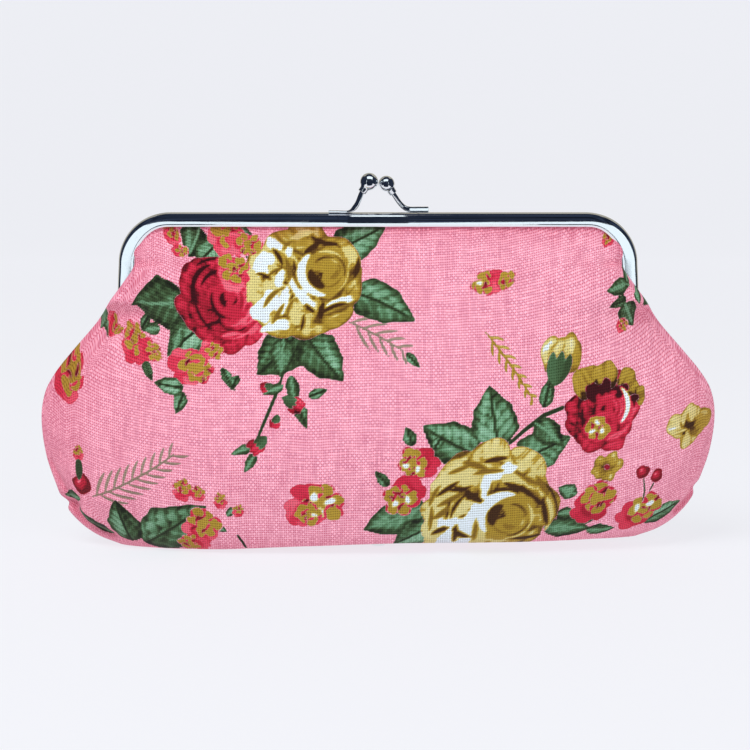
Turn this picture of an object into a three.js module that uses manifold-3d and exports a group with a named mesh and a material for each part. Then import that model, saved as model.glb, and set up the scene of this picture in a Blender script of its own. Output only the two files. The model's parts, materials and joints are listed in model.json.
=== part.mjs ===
// A coin purse with a two-ball snap clasp: a lined canvas bag hung from a hinged channel frame.
// Millimetres, +Z up, front facing -Y, origin at the middle of the flat bottom.

import * as THREE from 'three';
import { mergeVertices } from 'three/addons/utils/BufferGeometryUtils.js';
import Module from 'manifold-3d';

const wasm = await Module();
wasm.setup();

// ---- Driving dimensions -------------------------------------------------------------------

const CLEARANCE = 0.3; // between pieces that touch

// Frame: two arches of folded steel channel, side by side, hinged low on both arms.
const FRAME_HALF_WIDTH = 76;
const FRAME_TOP = 99;
const FRAME_CORNER_RADIUS = 15;
const ARM_FLARE = 0.6; // each arm leans out by this at its foot
const ARM_FOOT_Z = 74;
const CHANNEL_WIDTH = 4; // front to back
const CHANNEL_DEPTH = 4.6; // from the spine to the lip's edge
const SHEET = 0.6;
const HALF_GAP = 0.15; // from the middle plane to each half of the frame

// Hinge: an axis along X, with an ear of each half side by side on a rivet.
const HINGE_Z = 69;
const EAR_RADIUS = 3.2;
const EAR_THICKNESS = 0.8;
const INNER_EAR_X = 73.9;
const OUTER_EAR_X = INNER_EAR_X + EAR_THICKNESS + 0.35;
const EAR_HOLE_RADIUS = 1.1;
const RIVET_RADIUS = 1;
const RIVET_HEAD_RADIUS = 2.1;
const RIVET_HEAD_THICKNESS = 0.7;

// Clasp: a stem with a ball on each half, which snap past each other.
const STEM_RADIUS = 0.65;
const FOOT_LENGTH = 6;
const FOOT_WIDTH = 2.4;
const FOOT_HEIGHT = 1.5;
const CLASPS = {
  front: { side: -1, ballRadius: 2.6, ballX: 2.6, ballZ: 107.9, footX: 11.6 },
  back: { side: 1, ballRadius: 2.35, ballX: 2.45, ballZ: 107.3, footX: 12 },
};
const BALL_Y = 0.6; // each ball stays on its own side of the middle plane

// Cloth: canvas outside and a lining inside, each a front and a back.
const CANVAS_THICKNESS = 0.9;
const LINING_THICKNESS = 0.6;
const CLOTH_TOP_INSET = 2.8; // how far below the frame's outline the cloth's edge sits
const PAPER_CORD_RADIUS = 0.75;
const PAPER_CORD_INSET = 1.65;

// The cloth turns with the frame above YOKE_Z and stays with the bag below BAG_RIM_Z. The band
// between them is where it crumples, so it stays empty.
const YOKE_Z = 67;
const BAG_RIM_Z = 62.5;
const RIM_HALF_WIDTH = 78; // beyond the hinges, the bag's sides rise past the rim

// Bag outline as [height, half size] pairs: seen from the front, where the cloth's bulge ends,
// seen from the side, and half the width of its side edge.
const HALF_WIDTHS = [[0, 78], [2.5, 84], [8, 91], [18, 96], [30, 99.6], [38, 100], [46, 98.6],
  [54, 94], [62, 87], [70, 80.5], [74, 77], [77, 75], [98, 75]];
const BULGE_WIDTHS = [[0, 80], [2.5, 86], [8, 93], [18, 97], [30, 100], [38, 100], [46, 98.6],
  [54, 94], [62, 87], [70, 77], [75, 69.8], [98, 69.8]];
const HALF_DEPTHS = [[0, 12.5], [2, 15], [8, 18], [18, 19.4], [30, 19.5], [45, 17.8], [62, 14],
  [70, 12], [80, 9.2], [88, 6.4], [94, 3.4], [98, 3.3]];
const EDGE_DEPTHS = [[0, 2], [10, 0.8], [60, 0.8], [74, 3.3], [98, 3.3]];
const LOFT_TOP = 98;
const LOFT_LEVELS = 18;
const LOFT_COLUMNS = 16;

// ---- Helpers ------------------------------------------------------------------------------

// A smooth function through [position, value] pairs.
function through(pairs) {
  const last = pairs.length - 1;
  const slopes = pairs.map((pair, i) => {
    const before = pairs[Math.max(i - 1, 0)];
    const after = pairs[Math.min(i + 1, last)];
    return (after[1] - before[1]) / (after[0] - before[0]);
  });
  return (position) => {
    let i = 0;
    while (i < last - 1 && pairs[i + 1][0] < position) i += 1;
    const span = pairs[i + 1][0] - pairs[i][0];
    const t = THREE.MathUtils.clamp((position - pairs[i][0]) / span, 0, 1);
    const rise = t * t * (3 - 2 * t);
    const bend = span * (slopes[i] * t * (1 - t) ** 2 - slopes[i + 1] * t * t * (1 - t));
    return pairs[i][1] * (1 - rise) + pairs[i + 1][1] * rise + bend;
  };
}

function toSolid(geometry) {
  const plain = geometry.clone();
  plain.deleteAttribute('normal');
  plain.deleteAttribute('uv');
  const merged = mergeVertices(plain, 1e-4);
  return new wasm.Manifold(new wasm.Mesh({
    numProp: 3,
    vertProperties: new Float32Array(merged.getAttribute('position').array),
    triVerts: new Uint32Array(merged.index.array),
  }));
}

function toGeometry(solid) {
  const mesh = solid.getMesh();
  const geometry = new THREE.BufferGeometry();
  geometry.setAttribute('position', new THREE.BufferAttribute(mesh.vertProperties, 3));
  geometry.setIndex(new THREE.BufferAttribute(mesh.triVerts, 1));
  geometry.computeVertexNormals();
  return geometry;
}

// A box between two opposite corners.
function boxBetween(low, high) {
  const size = high.map((value, i) => value - low[i]);
  const middle = high.map((value, i) => (value + low[i]) / 2);
  return toSolid(new THREE.BoxGeometry(...size).translate(...middle));
}

// An XZ shape made solid from yStart towards -Y.
function upright(shape, depth, yStart, curveSegments = 8) {
  const geometry = new THREE.ExtrudeGeometry(shape, { depth, bevelEnabled: false, curveSegments });
  return toSolid(geometry.rotateX(Math.PI / 2).translate(0, yStart, 0));
}

// A cylinder along X.
function barAlongX(radius, xStart, xEnd) {
  const geometry = new THREE.CylinderGeometry(radius, radius, xEnd - xStart, 24);
  geometry.rotateZ(Math.PI / 2).translate((xStart + xEnd) / 2, 0, HINGE_Z);
  return toSolid(geometry);
}

const mirrorX = (solid) => solid.mirror([1, 0, 0]);
const mirrorY = (solid) => solid.mirror([0, 1, 0]);

// ---- Frame --------------------------------------------------------------------------------

// The frame's outline, drawn inwards by an inset, down to a given height.
function archShape(inset, footZ) {
  const half = FRAME_HALF_WIDTH - inset;
  const top = FRAME_TOP - inset;
  const radius = FRAME_CORNER_RADIUS - Math.min(inset, FRAME_CORNER_RADIUS - 1);
  const armTop = FRAME_TOP - FRAME_CORNER_RADIUS;
  const lean = (ARM_FLARE * (armTop - footZ)) / (armTop - ARM_FOOT_Z);
  const shape = new THREE.Shape();
  shape.moveTo(-half - lean, footZ);
  shape.lineTo(half + lean, footZ);
  shape.lineTo(half, top - radius);
  shape.absarc(half - radius, top - radius, radius, 0, Math.PI / 2, false);
  shape.lineTo(-half + radius, top);
  shape.absarc(-half + radius, top - radius, radius, Math.PI / 2, Math.PI, false);
  shape.closePath();
  return shape;
}

// One arch of channel, open towards the purse's middle, at the front.
function frontChannel() {
  const below = ARM_FOOT_Z - 10;
  const body = upright(archShape(0, ARM_FOOT_Z), CHANNEL_WIDTH, -HALF_GAP)
    .subtract(upright(archShape(CHANNEL_DEPTH, below), CHANNEL_WIDTH + 2, 1 - HALF_GAP));
  const pocket = upright(archShape(SHEET, below), CHANNEL_WIDTH - 2 * SHEET, -HALF_GAP - SHEET);
  return body.subtract(pocket);
}

// The ear below one arm: a strip down from the channel's spine that ends in a disc on the axis.
function ear(xStart) {
  const xEnd = xStart + EAR_THICKNESS;
  const strip = boxBetween(
    [xStart, -HALF_GAP - CHANNEL_WIDTH, HINGE_Z],
    [xEnd, -HALF_GAP, ARM_FOOT_Z + 3],
  );
  const corner = boxBetween(
    [xStart - 1, -HALF_GAP - CHANNEL_WIDTH - 1, HINGE_Z - 1],
    [xEnd + 1, -EAR_RADIUS, ARM_FOOT_Z - 1],
  );
  return strip.subtract(corner).add(barAlongX(EAR_RADIUS, xStart, xEnd));
}

// The inner ears' strips stand clear of the channel's spine, so a web joins them to it.
function earWeb() {
  return boxBetween(
    [INNER_EAR_X, -HALF_GAP - CHANNEL_WIDTH, ARM_FOOT_Z],
    [FRAME_HALF_WIDTH, -HALF_GAP, ARM_FOOT_Z + 1],
  );
}

function frontHalf(earX, hasWeb) {
  let side = ear(earX);
  if (hasWeb) side = side.add(earWeb());
  const hole = barAlongX(EAR_HOLE_RADIUS, earX - 2, earX + EAR_THICKNESS + 2);
  const solid = frontChannel().add(side).add(mirrorX(side));
  return solid.subtract(hole).subtract(mirrorX(hole));
}

function hingeRivet() {
  const headIn = INNER_EAR_X - CLEARANCE;
  const headOut = OUTER_EAR_X + EAR_THICKNESS + CLEARANCE;
  return barAlongX(RIVET_RADIUS, headIn - 0.1, headOut + 0.1)
    .add(barAlongX(RIVET_HEAD_RADIUS, headIn - RIVET_HEAD_THICKNESS, headIn))
    .add(barAlongX(RIVET_HEAD_RADIUS, headOut, headOut + RIVET_HEAD_THICKNESS));
}

// The twisted paper cord that wedges the cloth in the channel.
function frontPaperCord() {
  const outline = archShape(PAPER_CORD_INSET, ARM_FOOT_Z + 4).getPoints(6).slice(1);
  const y = -HALF_GAP - CHANNEL_WIDTH / 2;
  const path = new THREE.CatmullRomCurve3(
    outline.map((point) => new THREE.Vector3(point.x, y, point.y)), false, 'centripetal');
  const section = new THREE.Shape().absarc(0, 0, PAPER_CORD_RADIUS, 0, 2 * Math.PI, false);
  return toSolid(new THREE.ExtrudeGeometry(section, { steps: 44, curveSegments: 3, extrudePath: path }));
}

// ---- Clasp --------------------------------------------------------------------------------

const footY = HALF_GAP + CHANNEL_WIDTH / 2;
const footBottom = FRAME_TOP + CLEARANCE;

function ballCentre(clasp) {
  return new THREE.Vector3(clasp.side * clasp.ballX, clasp.side * BALL_Y, clasp.ballZ);
}

// The stem's middle line, from its foot up to the ball.
function stemPath(clasp) {
  const { side, footX } = clasp;
  const foot = new THREE.Vector3(side * (footX - FOOT_LENGTH / 2), side * footY,
    footBottom + STEM_RADIUS + 0.2);
  const ball = ballCentre(clasp);
  const knee = new THREE.Vector3(foot.x - side * 1.6, side * (footY - 0.2), foot.z + 0.9);
  const neck = ball.clone().add(new THREE.Vector3(side * 1.9, side * 0.5, -2.6));
  return new THREE.CatmullRomCurve3([foot, knee, neck, ball]);
}

// Straight bore or collar that follows the stem where it enters its ball.
function alongStemEnd(clasp, radius, from, to) {
  const path = stemPath(clasp);
  const direction = path.getTangentAt(1);
  const geometry = new THREE.CylinderGeometry(radius, radius, to - from, 14);
  geometry.translate(0, (from + to) / 2, 0);
  geometry.applyQuaternion(
    new THREE.Quaternion().setFromUnitVectors(new THREE.Vector3(0, 1, 0), direction.negate()));
  const centre = ballCentre(clasp);
  return toSolid(geometry.translate(centre.x, centre.y, centre.z));
}

function claspStem(clasp) {
  const section = new THREE.Shape().absarc(0, 0, STEM_RADIUS, 0, 2 * Math.PI, false);
  const stem = toSolid(new THREE.ExtrudeGeometry(section,
    { steps: 14, curveSegments: 4, extrudePath: stemPath(clasp) }));
  const middle = clasp.side * clasp.footX;
  const foot = boxBetween(
    [middle - FOOT_LENGTH / 2, clasp.side * footY - FOOT_WIDTH / 2, footBottom],
    [middle + FOOT_LENGTH / 2, clasp.side * footY + FOOT_WIDTH / 2, footBottom + FOOT_HEIGHT],
  );
  // The stem's tip stops short inside the ball's bore.
  const tip = alongStemEnd(clasp, 2 * STEM_RADIUS, -2, clasp.ballRadius - 1);
  return stem.add(foot).subtract(tip);
}

function claspBall(clasp) {
  const centre = ballCentre(clasp);
  const sphere = new THREE.SphereGeometry(clasp.ballRadius, 20, 12);
  const boreRadius = STEM_RADIUS + CLEARANCE;
  const ball = toSolid(sphere.translate(centre.x, centre.y, centre.z));
  const collar = alongStemEnd(clasp, STEM_RADIUS + 0.65, 0, clasp.ballRadius + 0.7);
  const bore = alongStemEnd(clasp, boreRadius, clasp.ballRadius - 1 - CLEARANCE, clasp.ballRadius + 2);
  return ball.add(collar).subtract(bore);
}

// ---- Cloth --------------------------------------------------------------------------------

const halfWidthAt = through(HALF_WIDTHS);
const bulgeWidthAt = through(BULGE_WIDTHS);
const halfDepthAt = through(HALF_DEPTHS);
const edgeDepthAt = through(EDGE_DEPTHS);

// Half the bag's depth at a place seen from the front.
function depthAt(x, z, inset) {
  const edge = Math.max(edgeDepthAt(z) - inset, 0.25);
  const bulgeHalf = bulgeWidthAt(z) - inset;
  const bulge = Math.max(1 - Math.abs(x / bulgeHalf) ** 3.5, 0) ** 0.8;
  return edge + (halfDepthAt(z) - inset - edge) * bulge;
}

// The whole bag as one solid, drawn in by an inset, from its bottom to a given top.
function bagSolid(inset, top) {
  const positions = [];
  const ringSize = 2 * (LOFT_COLUMNS + 1);
  for (let level = 0; level <= LOFT_LEVELS; level += 1) {
    const rise = (1 - Math.cos((Math.PI * level) / LOFT_LEVELS)) / 2; // closer at both ends
    const z = inset + (top - inset) * rise;
    const half = halfWidthAt(z) - inset;
    for (let i = 0; i < ringSize; i += 1) {
      const isFront = i <= LOFT_COLUMNS;
      const column = isFront ? i : ringSize - 1 - i;
      const x = -half * Math.cos((Math.PI * column) / LOFT_COLUMNS);
      const y = depthAt(x, Math.min(z, LOFT_TOP), inset);
      positions.push(x, isFront ? -y : y, z);
    }
  }
  const indices = [];
  for (let level = 0; level < LOFT_LEVELS; level += 1) {
    for (let i = 0; i < ringSize; i += 1) {
      const a = level * ringSize + i;
      const b = level * ringSize + ((i + 1) % ringSize);
      indices.push(a, b, b + ringSize, a, b + ringSize, a + ringSize);
    }
  }
  // The caps are strips between the front's and the back's points.
  const topStart = LOFT_LEVELS * ringSize;
  for (let i = 0; i < LOFT_COLUMNS; i += 1) {
    const back = ringSize - 1 - i;
    indices.push(i, back, back - 1, i, back - 1, i + 1);
    indices.push(topStart + i, topStart + i + 1, topStart + back - 1);
    indices.push(topStart + i, topStart + back - 1, topStart + back);
  }
  const geometry = new THREE.BufferGeometry();
  geometry.setAttribute('position', new THREE.Float32BufferAttribute(positions, 3));
  geometry.setIndex(indices);
  return toSolid(geometry);
}

const FAR = 200;

// One layer of cloth as a shell, split into its front panel below the rim and its front yoke.
function frontLayer(outerInset, thickness) {
  const shell = bagSolid(outerInset, LOFT_TOP)
    .subtract(bagSolid(outerInset + thickness, LOFT_TOP + 1));
  const front = shell.intersect(boxBetween([-FAR, -FAR, -1], [FAR, -HALF_GAP, FAR]));
  const panel = front.subtract(
    boxBetween([-RIM_HALF_WIDTH, -FAR, BAG_RIM_Z], [RIM_HALF_WIDTH, FAR, FAR]));
  const innerLip = HALF_GAP + SHEET + CLEARANCE;
  const earSpace = INNER_EAR_X - RIVET_HEAD_THICKNESS - 2 * CLEARANCE;
  const yoke = front
    .intersect(upright(archShape(CLOTH_TOP_INSET, YOKE_Z), FAR, 0))
    .subtract(boxBetween([-FAR, -innerLip, 0], [FAR, FAR, FAR]))
    .subtract(boxBetween([earSpace, -FAR, 0], [FAR, FAR, ARM_FOOT_Z + 4]))
    .subtract(boxBetween([-FAR, -FAR, 0], [-earSpace, FAR, ARM_FOOT_Z + 4]));
  return { panel, yoke };
}

// ---- Assembly -----------------------------------------------------------------------------

const MATERIALS = {
  chrome: { color: 0xc9cfd6, metalness: 1, roughness: 0.12 },
  canvas: { color: 0xf0a0b8, metalness: 0, roughness: 0.9 },
  lining: { color: 0xe9dccb, metalness: 0, roughness: 0.85 },
  paper: { color: 0xb99a6b, metalness: 0, roughness: 0.95 },
};

const purse = new THREE.Group();

function addNode(name, solid, look) {
  const mesh = new THREE.Mesh(toGeometry(solid), new THREE.MeshStandardMaterial(MATERIALS[look]));
  mesh.name = name;
  purse.add(mesh);
}

// Adds a front piece and its mirror image at the back.
function addPair(suffix, solid, look) {
  addNode(`front_${suffix}`, solid, look);
  addNode(`back_${suffix}`, mirrorY(solid), look);
}

addNode('front_frame', frontHalf(INNER_EAR_X, true), 'chrome');
addNode('back_frame', mirrorY(frontHalf(OUTER_EAR_X, false)), 'chrome');

const rivet = hingeRivet();
addNode('right_hinge_rivet', rivet, 'chrome');
addNode('left_hinge_rivet', mirrorX(rivet), 'chrome');

for (const [half, clasp] of Object.entries(CLASPS)) {
  addNode(`${half}_clasp_stem`, claspStem(clasp), 'chrome');
  addNode(`${half}_clasp_ball`, claspBall(clasp), 'chrome');
}

addPair('paper_cord', frontPaperCord(), 'paper');

const canvas = frontLayer(0, CANVAS_THICKNESS);
addPair('canvas', canvas.panel, 'canvas');
addPair('canvas_yoke', canvas.yoke, 'canvas');

const lining = frontLayer(CANVAS_THICKNESS + CLEARANCE, LINING_THICKNESS);
addPair('lining', lining.panel, 'lining');
addPair('lining_yoke', lining.yoke, 'lining');

export default purse;
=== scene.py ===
"""A coin purse: printed canvas and a lining, hung from a chrome channel frame with a two-ball clasp.

Lengths are in millimetres while shapes are worked out, and in metres once they are Blender meshes.
The frame stands on its flat bottom: X is its width, -Y its front, +Z up.
"""

import json
import math

import bmesh
import bpy
import numpy as np
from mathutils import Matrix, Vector


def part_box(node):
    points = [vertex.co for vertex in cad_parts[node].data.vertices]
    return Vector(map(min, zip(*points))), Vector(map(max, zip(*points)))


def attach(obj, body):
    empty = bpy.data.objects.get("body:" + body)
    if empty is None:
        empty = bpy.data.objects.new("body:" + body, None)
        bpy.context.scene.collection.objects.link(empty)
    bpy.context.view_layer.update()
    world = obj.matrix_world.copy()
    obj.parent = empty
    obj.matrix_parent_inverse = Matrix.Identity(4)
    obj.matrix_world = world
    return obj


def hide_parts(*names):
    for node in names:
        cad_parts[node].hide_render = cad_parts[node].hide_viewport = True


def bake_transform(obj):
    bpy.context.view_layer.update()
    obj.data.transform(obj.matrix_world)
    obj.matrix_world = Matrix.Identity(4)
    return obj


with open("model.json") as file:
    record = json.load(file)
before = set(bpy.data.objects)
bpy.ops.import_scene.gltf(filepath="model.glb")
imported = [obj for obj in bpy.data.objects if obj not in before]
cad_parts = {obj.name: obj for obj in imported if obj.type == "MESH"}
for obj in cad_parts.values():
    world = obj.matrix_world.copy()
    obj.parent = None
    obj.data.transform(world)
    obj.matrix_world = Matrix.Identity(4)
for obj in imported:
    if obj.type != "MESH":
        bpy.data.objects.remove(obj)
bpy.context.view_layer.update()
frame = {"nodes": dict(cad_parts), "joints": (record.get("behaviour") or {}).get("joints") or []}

MM = 0.001
SEED = 7


scene = bpy.context.scene
scene.view_settings.view_transform = "Standard"


def node_box(name):
    low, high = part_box(name)
    return np.array(low) / MM, np.array(high) / MM


# ---- Sizes taken from the frame --------------------------------------------------------------

FRAME_LOW, FRAME_HIGH = node_box("front_frame")
FRAME_TOP = FRAME_HIGH[2]
ARM_FOOT_HALF_WIDTH = FRAME_HIGH[0]
ARM_FLARE = 0.6
FRAME_HALF_WIDTH = ARM_FOOT_HALF_WIDTH - ARM_FLARE
CORNER_RADIUS = 15.0
ARM_FOOT_Z = 74.0
ARM_TOP_Z = FRAME_TOP - CORNER_RADIUS
HINGE_Z = frame["joints"][0]["pos_m"][2] / MM
EAR_RADIUS = HINGE_Z - FRAME_LOW[2]

CANVAS_THICKNESS = 0.9
LINING_OFFSET = 1.3
LINING_THICKNESS = 0.5


# ---- Camera ----------------------------------------------------------------------------------

def add_camera():
    lens, sensor = 85.0, 36.0
    view_width = 222.2
    elevation = math.radians(7.0)
    target = Vector((-0.9, 0.0, 51.0)) * MM
    distance = view_width * lens / sensor * MM
    data = bpy.data.cameras.new("camera")
    data.lens = lens
    data.sensor_width = sensor
    camera = bpy.data.objects.new("camera", data)
    scene.collection.objects.link(camera)
    offset = Vector((0.0, -math.cos(elevation), math.sin(elevation))) * distance
    camera.location = target + offset
    camera.rotation_euler = (-offset).to_track_quat("-Z", "Y").to_euler()
    scene.camera = camera


add_camera()


# ---- Mesh helpers ----------------------------------------------------------------------------

def make_object(name, points, faces, smooth=True):
    """A mesh object from points in millimetres. faces is a list of index tuples."""
    mesh = bpy.data.meshes.new(name)
    mesh.from_pydata((np.asarray(points, float) * MM).tolist(), [], faces)
    mesh.update()
    if smooth:
        mesh.shade_smooth()
    obj = bpy.data.objects.new(name, mesh)
    scene.collection.objects.link(obj)
    return obj


def through(pairs):
    """A smooth function through (position, value) pairs, for arrays."""
    at = np.array([p[0] for p in pairs], float)
    value = np.array([p[1] for p in pairs], float)
    last = len(at) - 1
    before = np.maximum(np.arange(last + 1) - 1, 0)
    after = np.minimum(np.arange(last + 1) + 1, last)
    slope = (value[after] - value[before]) / (at[after] - at[before])

    def curve(position):
        i = np.clip(np.searchsorted(at, position) - 1, 0, last - 1)
        span = at[i + 1] - at[i]
        t = np.clip((position - at[i]) / span, 0, 1)
        rise = t * t * (3 - 2 * t)
        bend = span * (slope[i] * t * (1 - t) ** 2 - slope[i + 1] * t * t * (1 - t))
        return value[i] * (1 - rise) + value[i + 1] * rise + bend

    return curve


def smoothstep(low, high, value):
    t = np.clip((value - low) / (high - low), 0, 1)
    return t * t * (3 - 2 * t)


def ring_sweep(rings, closed_ends=True):
    """Faces that join equal rings of points in order, with an n-gon on each end."""
    count = len(rings[0])
    points = np.concatenate(rings)
    faces = []
    for r in range(len(rings) - 1):
        for i in range(count):
            a = r * count + i
            b = r * count + (i + 1) % count
            faces.append((a, b, b + count, a + count))
    if closed_ends:
        faces.append(tuple(reversed(range(count))))
        faces.append(tuple(range((len(rings) - 1) * count, len(rings) * count)))
    return points, faces


def face_outwards(obj):
    mesh = bmesh.new()
    mesh.from_mesh(obj.data)
    bmesh.ops.recalc_face_normals(mesh, faces=mesh.faces)
    mesh.to_mesh(obj.data)
    mesh.free()


def smooth_noise(x, y, size, seed, octaves=3):
    """Seeded value noise from about -1 to 1, with features of that size in millimetres."""
    total = np.zeros(np.broadcast(x, y).shape)
    weight, scale = 1.0, 1.0 / size
    for octave in range(octaves):
        table = np.random.default_rng(seed + 31 * octave).uniform(-1, 1, (64, 64))
        u, v = x * scale, y * scale
        i, j = np.floor(u).astype(int), np.floor(v).astype(int)
        fu, fv = smoothstep(0, 1, u - i), smoothstep(0, 1, v - j)
        i0, i1, j0, j1 = i % 64, (i + 1) % 64, j % 64, (j + 1) % 64
        low = table[i0, j0] * (1 - fu) + table[i1, j0] * fu
        high = table[i0, j1] * (1 - fu) + table[i1, j1] * fu
        total += weight * (low * (1 - fv) + high * fv)
        weight, scale = weight * 0.5, scale * 2.0
    return total


def blurred(grid, reach):
    """The mean over a square of grid points that reaches so many steps each way."""
    for axis in (0, 1):
        padded = np.concatenate([np.repeat(grid.take([0], axis), reach + 1, axis), grid,
                                 np.repeat(grid.take([-1], axis), reach, axis)], axis)
        total = np.cumsum(padded, axis)
        count = grid.shape[axis]
        grid = (total.take(range(2 * reach + 1, 2 * reach + 1 + count), axis)
                - total.take(range(count), axis)) / (2 * reach + 1)
    return grid


# ---- The bag's surface -----------------------------------------------------------------------
# Height against half width: the silhouette, then in front of each arm, then inside the channel.

HALF_WIDTHS = through([(0, 77), (2.6, 83.5), (6.5, 89), (12, 93.6), (18, 96), (27, 98.8), (38, 100),
                       (46, 98.7), (52, 95.4), (59, 89.7), (66.5, 83.2), (74, 77.9), (79, 74.2),
                       (83, 71.5), (85, 71.6), (87, 73), (89, 73.2), (92, 72.2), (95, 69.3),
                       (96.4, 66)])
HALF_DEPTHS = through([(0, 12.4), (1.2, 14), (4, 16), (9, 18), (18, 19.4), (30, 19.5), (45, 17.9),
                       (62, 14.2), (70, 12.1), (80, 9.4), (88, 6.7), (92.5, 4.2), (94.6, 3.35),
                       (96.4, 3.2)])
# How far in front of the middle plane the panel's own side edge is.
EDGE_DEPTHS = through([(0, 0.03), (64, 0.03), (69, 0.6), (73, 4.4), (75, 4.5), (82, 4.5),
                       (84.5, 3.4), (87, 3.3), (96.4, 3.2)])
PANEL_TOP = 96.4
# How far each sheet keeps from the middle plane, where the sheets of both halves are sewn together.
CANVAS_GAP, LINING_GAP, INSIDE_GAP = 0.03, 0.02, 0.01
BOTTOM_ROWS_SHARE = 0.11  # of a panel's rows, those that lie on the flat bottom
EDGE_ROLL = 1.3
WRAP = 0.86  # the share of a quarter turn each way that the columns are spread over


def corner_crease(x, z, points, depth, width):
    """A groove along a polyline seen from the front."""
    nearest = np.full(x.shape, 1e9)
    for (x0, z0), (x1, z1) in zip(points, points[1:]):
        dx, dz = x1 - x0, z1 - z0
        t = np.clip(((x - x0) * dx + (z - z0) * dz) / (dx * dx + dz * dz), 0, 1)
        nearest = np.minimum(nearest, np.hypot(x - x0 - t * dx, z - z0 - t * dz))
    return depth * np.exp(-((nearest / width) ** 2))


# The folds at the boxed corners: places seen from the front, depth and half width.
CORNER_FOLDS = [
    ([(-98, 15.5), (-91.5, 12.4), (-86.5, 7.6), (-78.5, 3.8)], 2.3, 1.3),
    ([(-97.5, 25), (-93.5, 18.5), (-90.5, 14.0)], 1.3, 1.2),
    ([(99.5, 20.5), (94.5, 15.8), (88.5, 10.5)], 1.6, 1.2),
]


def panel_surface(u, v):
    """Points of the front panel's outer face, for u from -1 to 1 across and v from 0 to 1 up."""
    on_bottom = v < BOTTOM_ROWS_SHARE
    along_bottom = np.clip(v / BOTTOM_ROWS_SHARE, 0, 1)
    up = np.clip((v - BOTTOM_ROWS_SHARE) / (1 - BOTTOM_ROWS_SHARE), 0, 1)
    z = np.where(on_bottom, 0.0, PANEL_TOP * up)
    half = HALF_WIDTHS(z) - np.where(on_bottom, 2.0 * (1 - along_bottom), 0)
    x = half * np.sin(u * math.pi / 2 * WRAP) / math.sin(math.pi / 2 * WRAP)

    # The lens-shaped section: full in the middle, closing on the side seam or the channel.
    edge = EDGE_DEPTHS(z)
    closing = through([(0, 3.2), (30, 3.0), (60, 3.2), (75, 5.0), (86, 7.0), (96.4, 8.0)])(z)
    bulge = np.clip(1 - np.abs(x / half) ** closing, 0, 1) ** 0.8
    inside = half - np.abs(x)
    roll = 0.9 * (1 - np.sqrt(np.clip(1 - (1 - np.clip(inside / EDGE_ROLL, 0, 1)) ** 2, 0, 1)))
    rolls = smoothstep(70, 74, z) * (1 - smoothstep(82.5, 84, z))
    front_edge = edge + 0.9 * rolls
    depth = front_edge + (HALF_DEPTHS(z) - front_edge) * bulge - roll * rolls
    y = -depth * np.where(on_bottom, along_bottom, 1)
    y = np.where(on_bottom & (y > -CANVAS_GAP), -CANVAS_GAP, y)
    return x, y, z


def relax_and_sag(x, y, z):
    """Gives the plain loft the unevenness of a filled, sewn bag."""
    low = 1 - smoothstep(20, 60, z)
    front = smoothstep(1.5, 6, -y)
    # The bottom rises a little to the right, as the bag was sewn slightly askew.
    z = z + (2.9 * smoothstep(-74, 16, x) - 0.8 * smoothstep(62, 92, x)) * low
    soft = smooth_noise(x + 300, z + 50, 34, SEED) * 0.55
    ripple = smooth_noise(x + 90, z * 0.5 + 20, 9, SEED + 3) * 0.16
    in_frame = smoothstep(84, 93, z)
    y = y + front * (1 - in_frame) * (soft + ripple)
    # Gathers below the frame's lip and pulls from the arms' feet.
    gathers = np.sin(x * 1.05 + 1.3 * np.sin(x * 0.21)) * 0.14
    y = y + gathers * smoothstep(76, 90, z) * (1 - smoothstep(92.5, 95, z))
    for side in (-1, 1):
        dx, dz = side * x - 70.0, 80.0 - z
        across = dx * 0.80 - dz * 0.60
        along = dx * 0.60 + dz * 0.80
        pull = np.cos(across * 0.85) * np.exp(-((across / 9) ** 2)) * np.exp(-((along - 12) / 14) ** 2)
        y = y + 0.42 * pull * front
    # The ends of the boxed corners' seams, which nick the outline and fold the cloth beside it.
    near_edge = smoothstep(0.3, 2.5, -y)
    for points, depth, width in CORNER_FOLDS:
        y = y + near_edge * corner_crease(x, z, points, depth, width)
    y = y - front * corner_crease(x, z, [(-93.5, 24.5), (-86, 17), (-76, 11)], 0.9, 3.0)
    x = x + 1.7 * np.exp(-((z - 12.9) / 1.5) ** 2) * smoothstep(-84, -92, x)
    x = x - 1.0 * np.exp(-((z - 17.5) / 1.5) ** 2) * smoothstep(88, 94, x)
    return x, y, z


def grid_faces(rows, columns, start=0, flip=False):
    index = start + np.arange(rows * columns).reshape(rows, columns)
    a, b = index[:-1, :-1].ravel(), index[:-1, 1:].ravel()
    c, d = index[1:, 1:].ravel(), index[1:, :-1].ravel()
    quad = np.stack([a, d, c, b] if flip else [a, b, c, d], axis=1)
    return quad


def outward_normals(points):
    """Unit normals of a grid of points, for the side that faces the front."""
    across = np.gradient(points, axis=1)
    up = np.gradient(points, axis=0)
    normal = np.cross(across, up)
    return normal / np.maximum(np.linalg.norm(normal, axis=2, keepdims=True), 1e-9)


def boundary(rows, columns, step):
    """Grid indices around the edge, anticlockwise from the low left corner, every step."""
    low = [(0, c) for c in range(0, columns - 1, step)]
    right = [(r, columns - 1) for r in range(0, rows - 1, step)]
    high = [(rows - 1, c) for c in range(columns - 1, 0, -step)]
    left = [(r, 0) for r in range(rows - 1, 0, -step)]
    return low + right + high + left


def panel_grid(rows, columns):
    return np.meshgrid(np.linspace(0, 1, rows), np.linspace(-1, 1, columns), indexing="ij")


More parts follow.
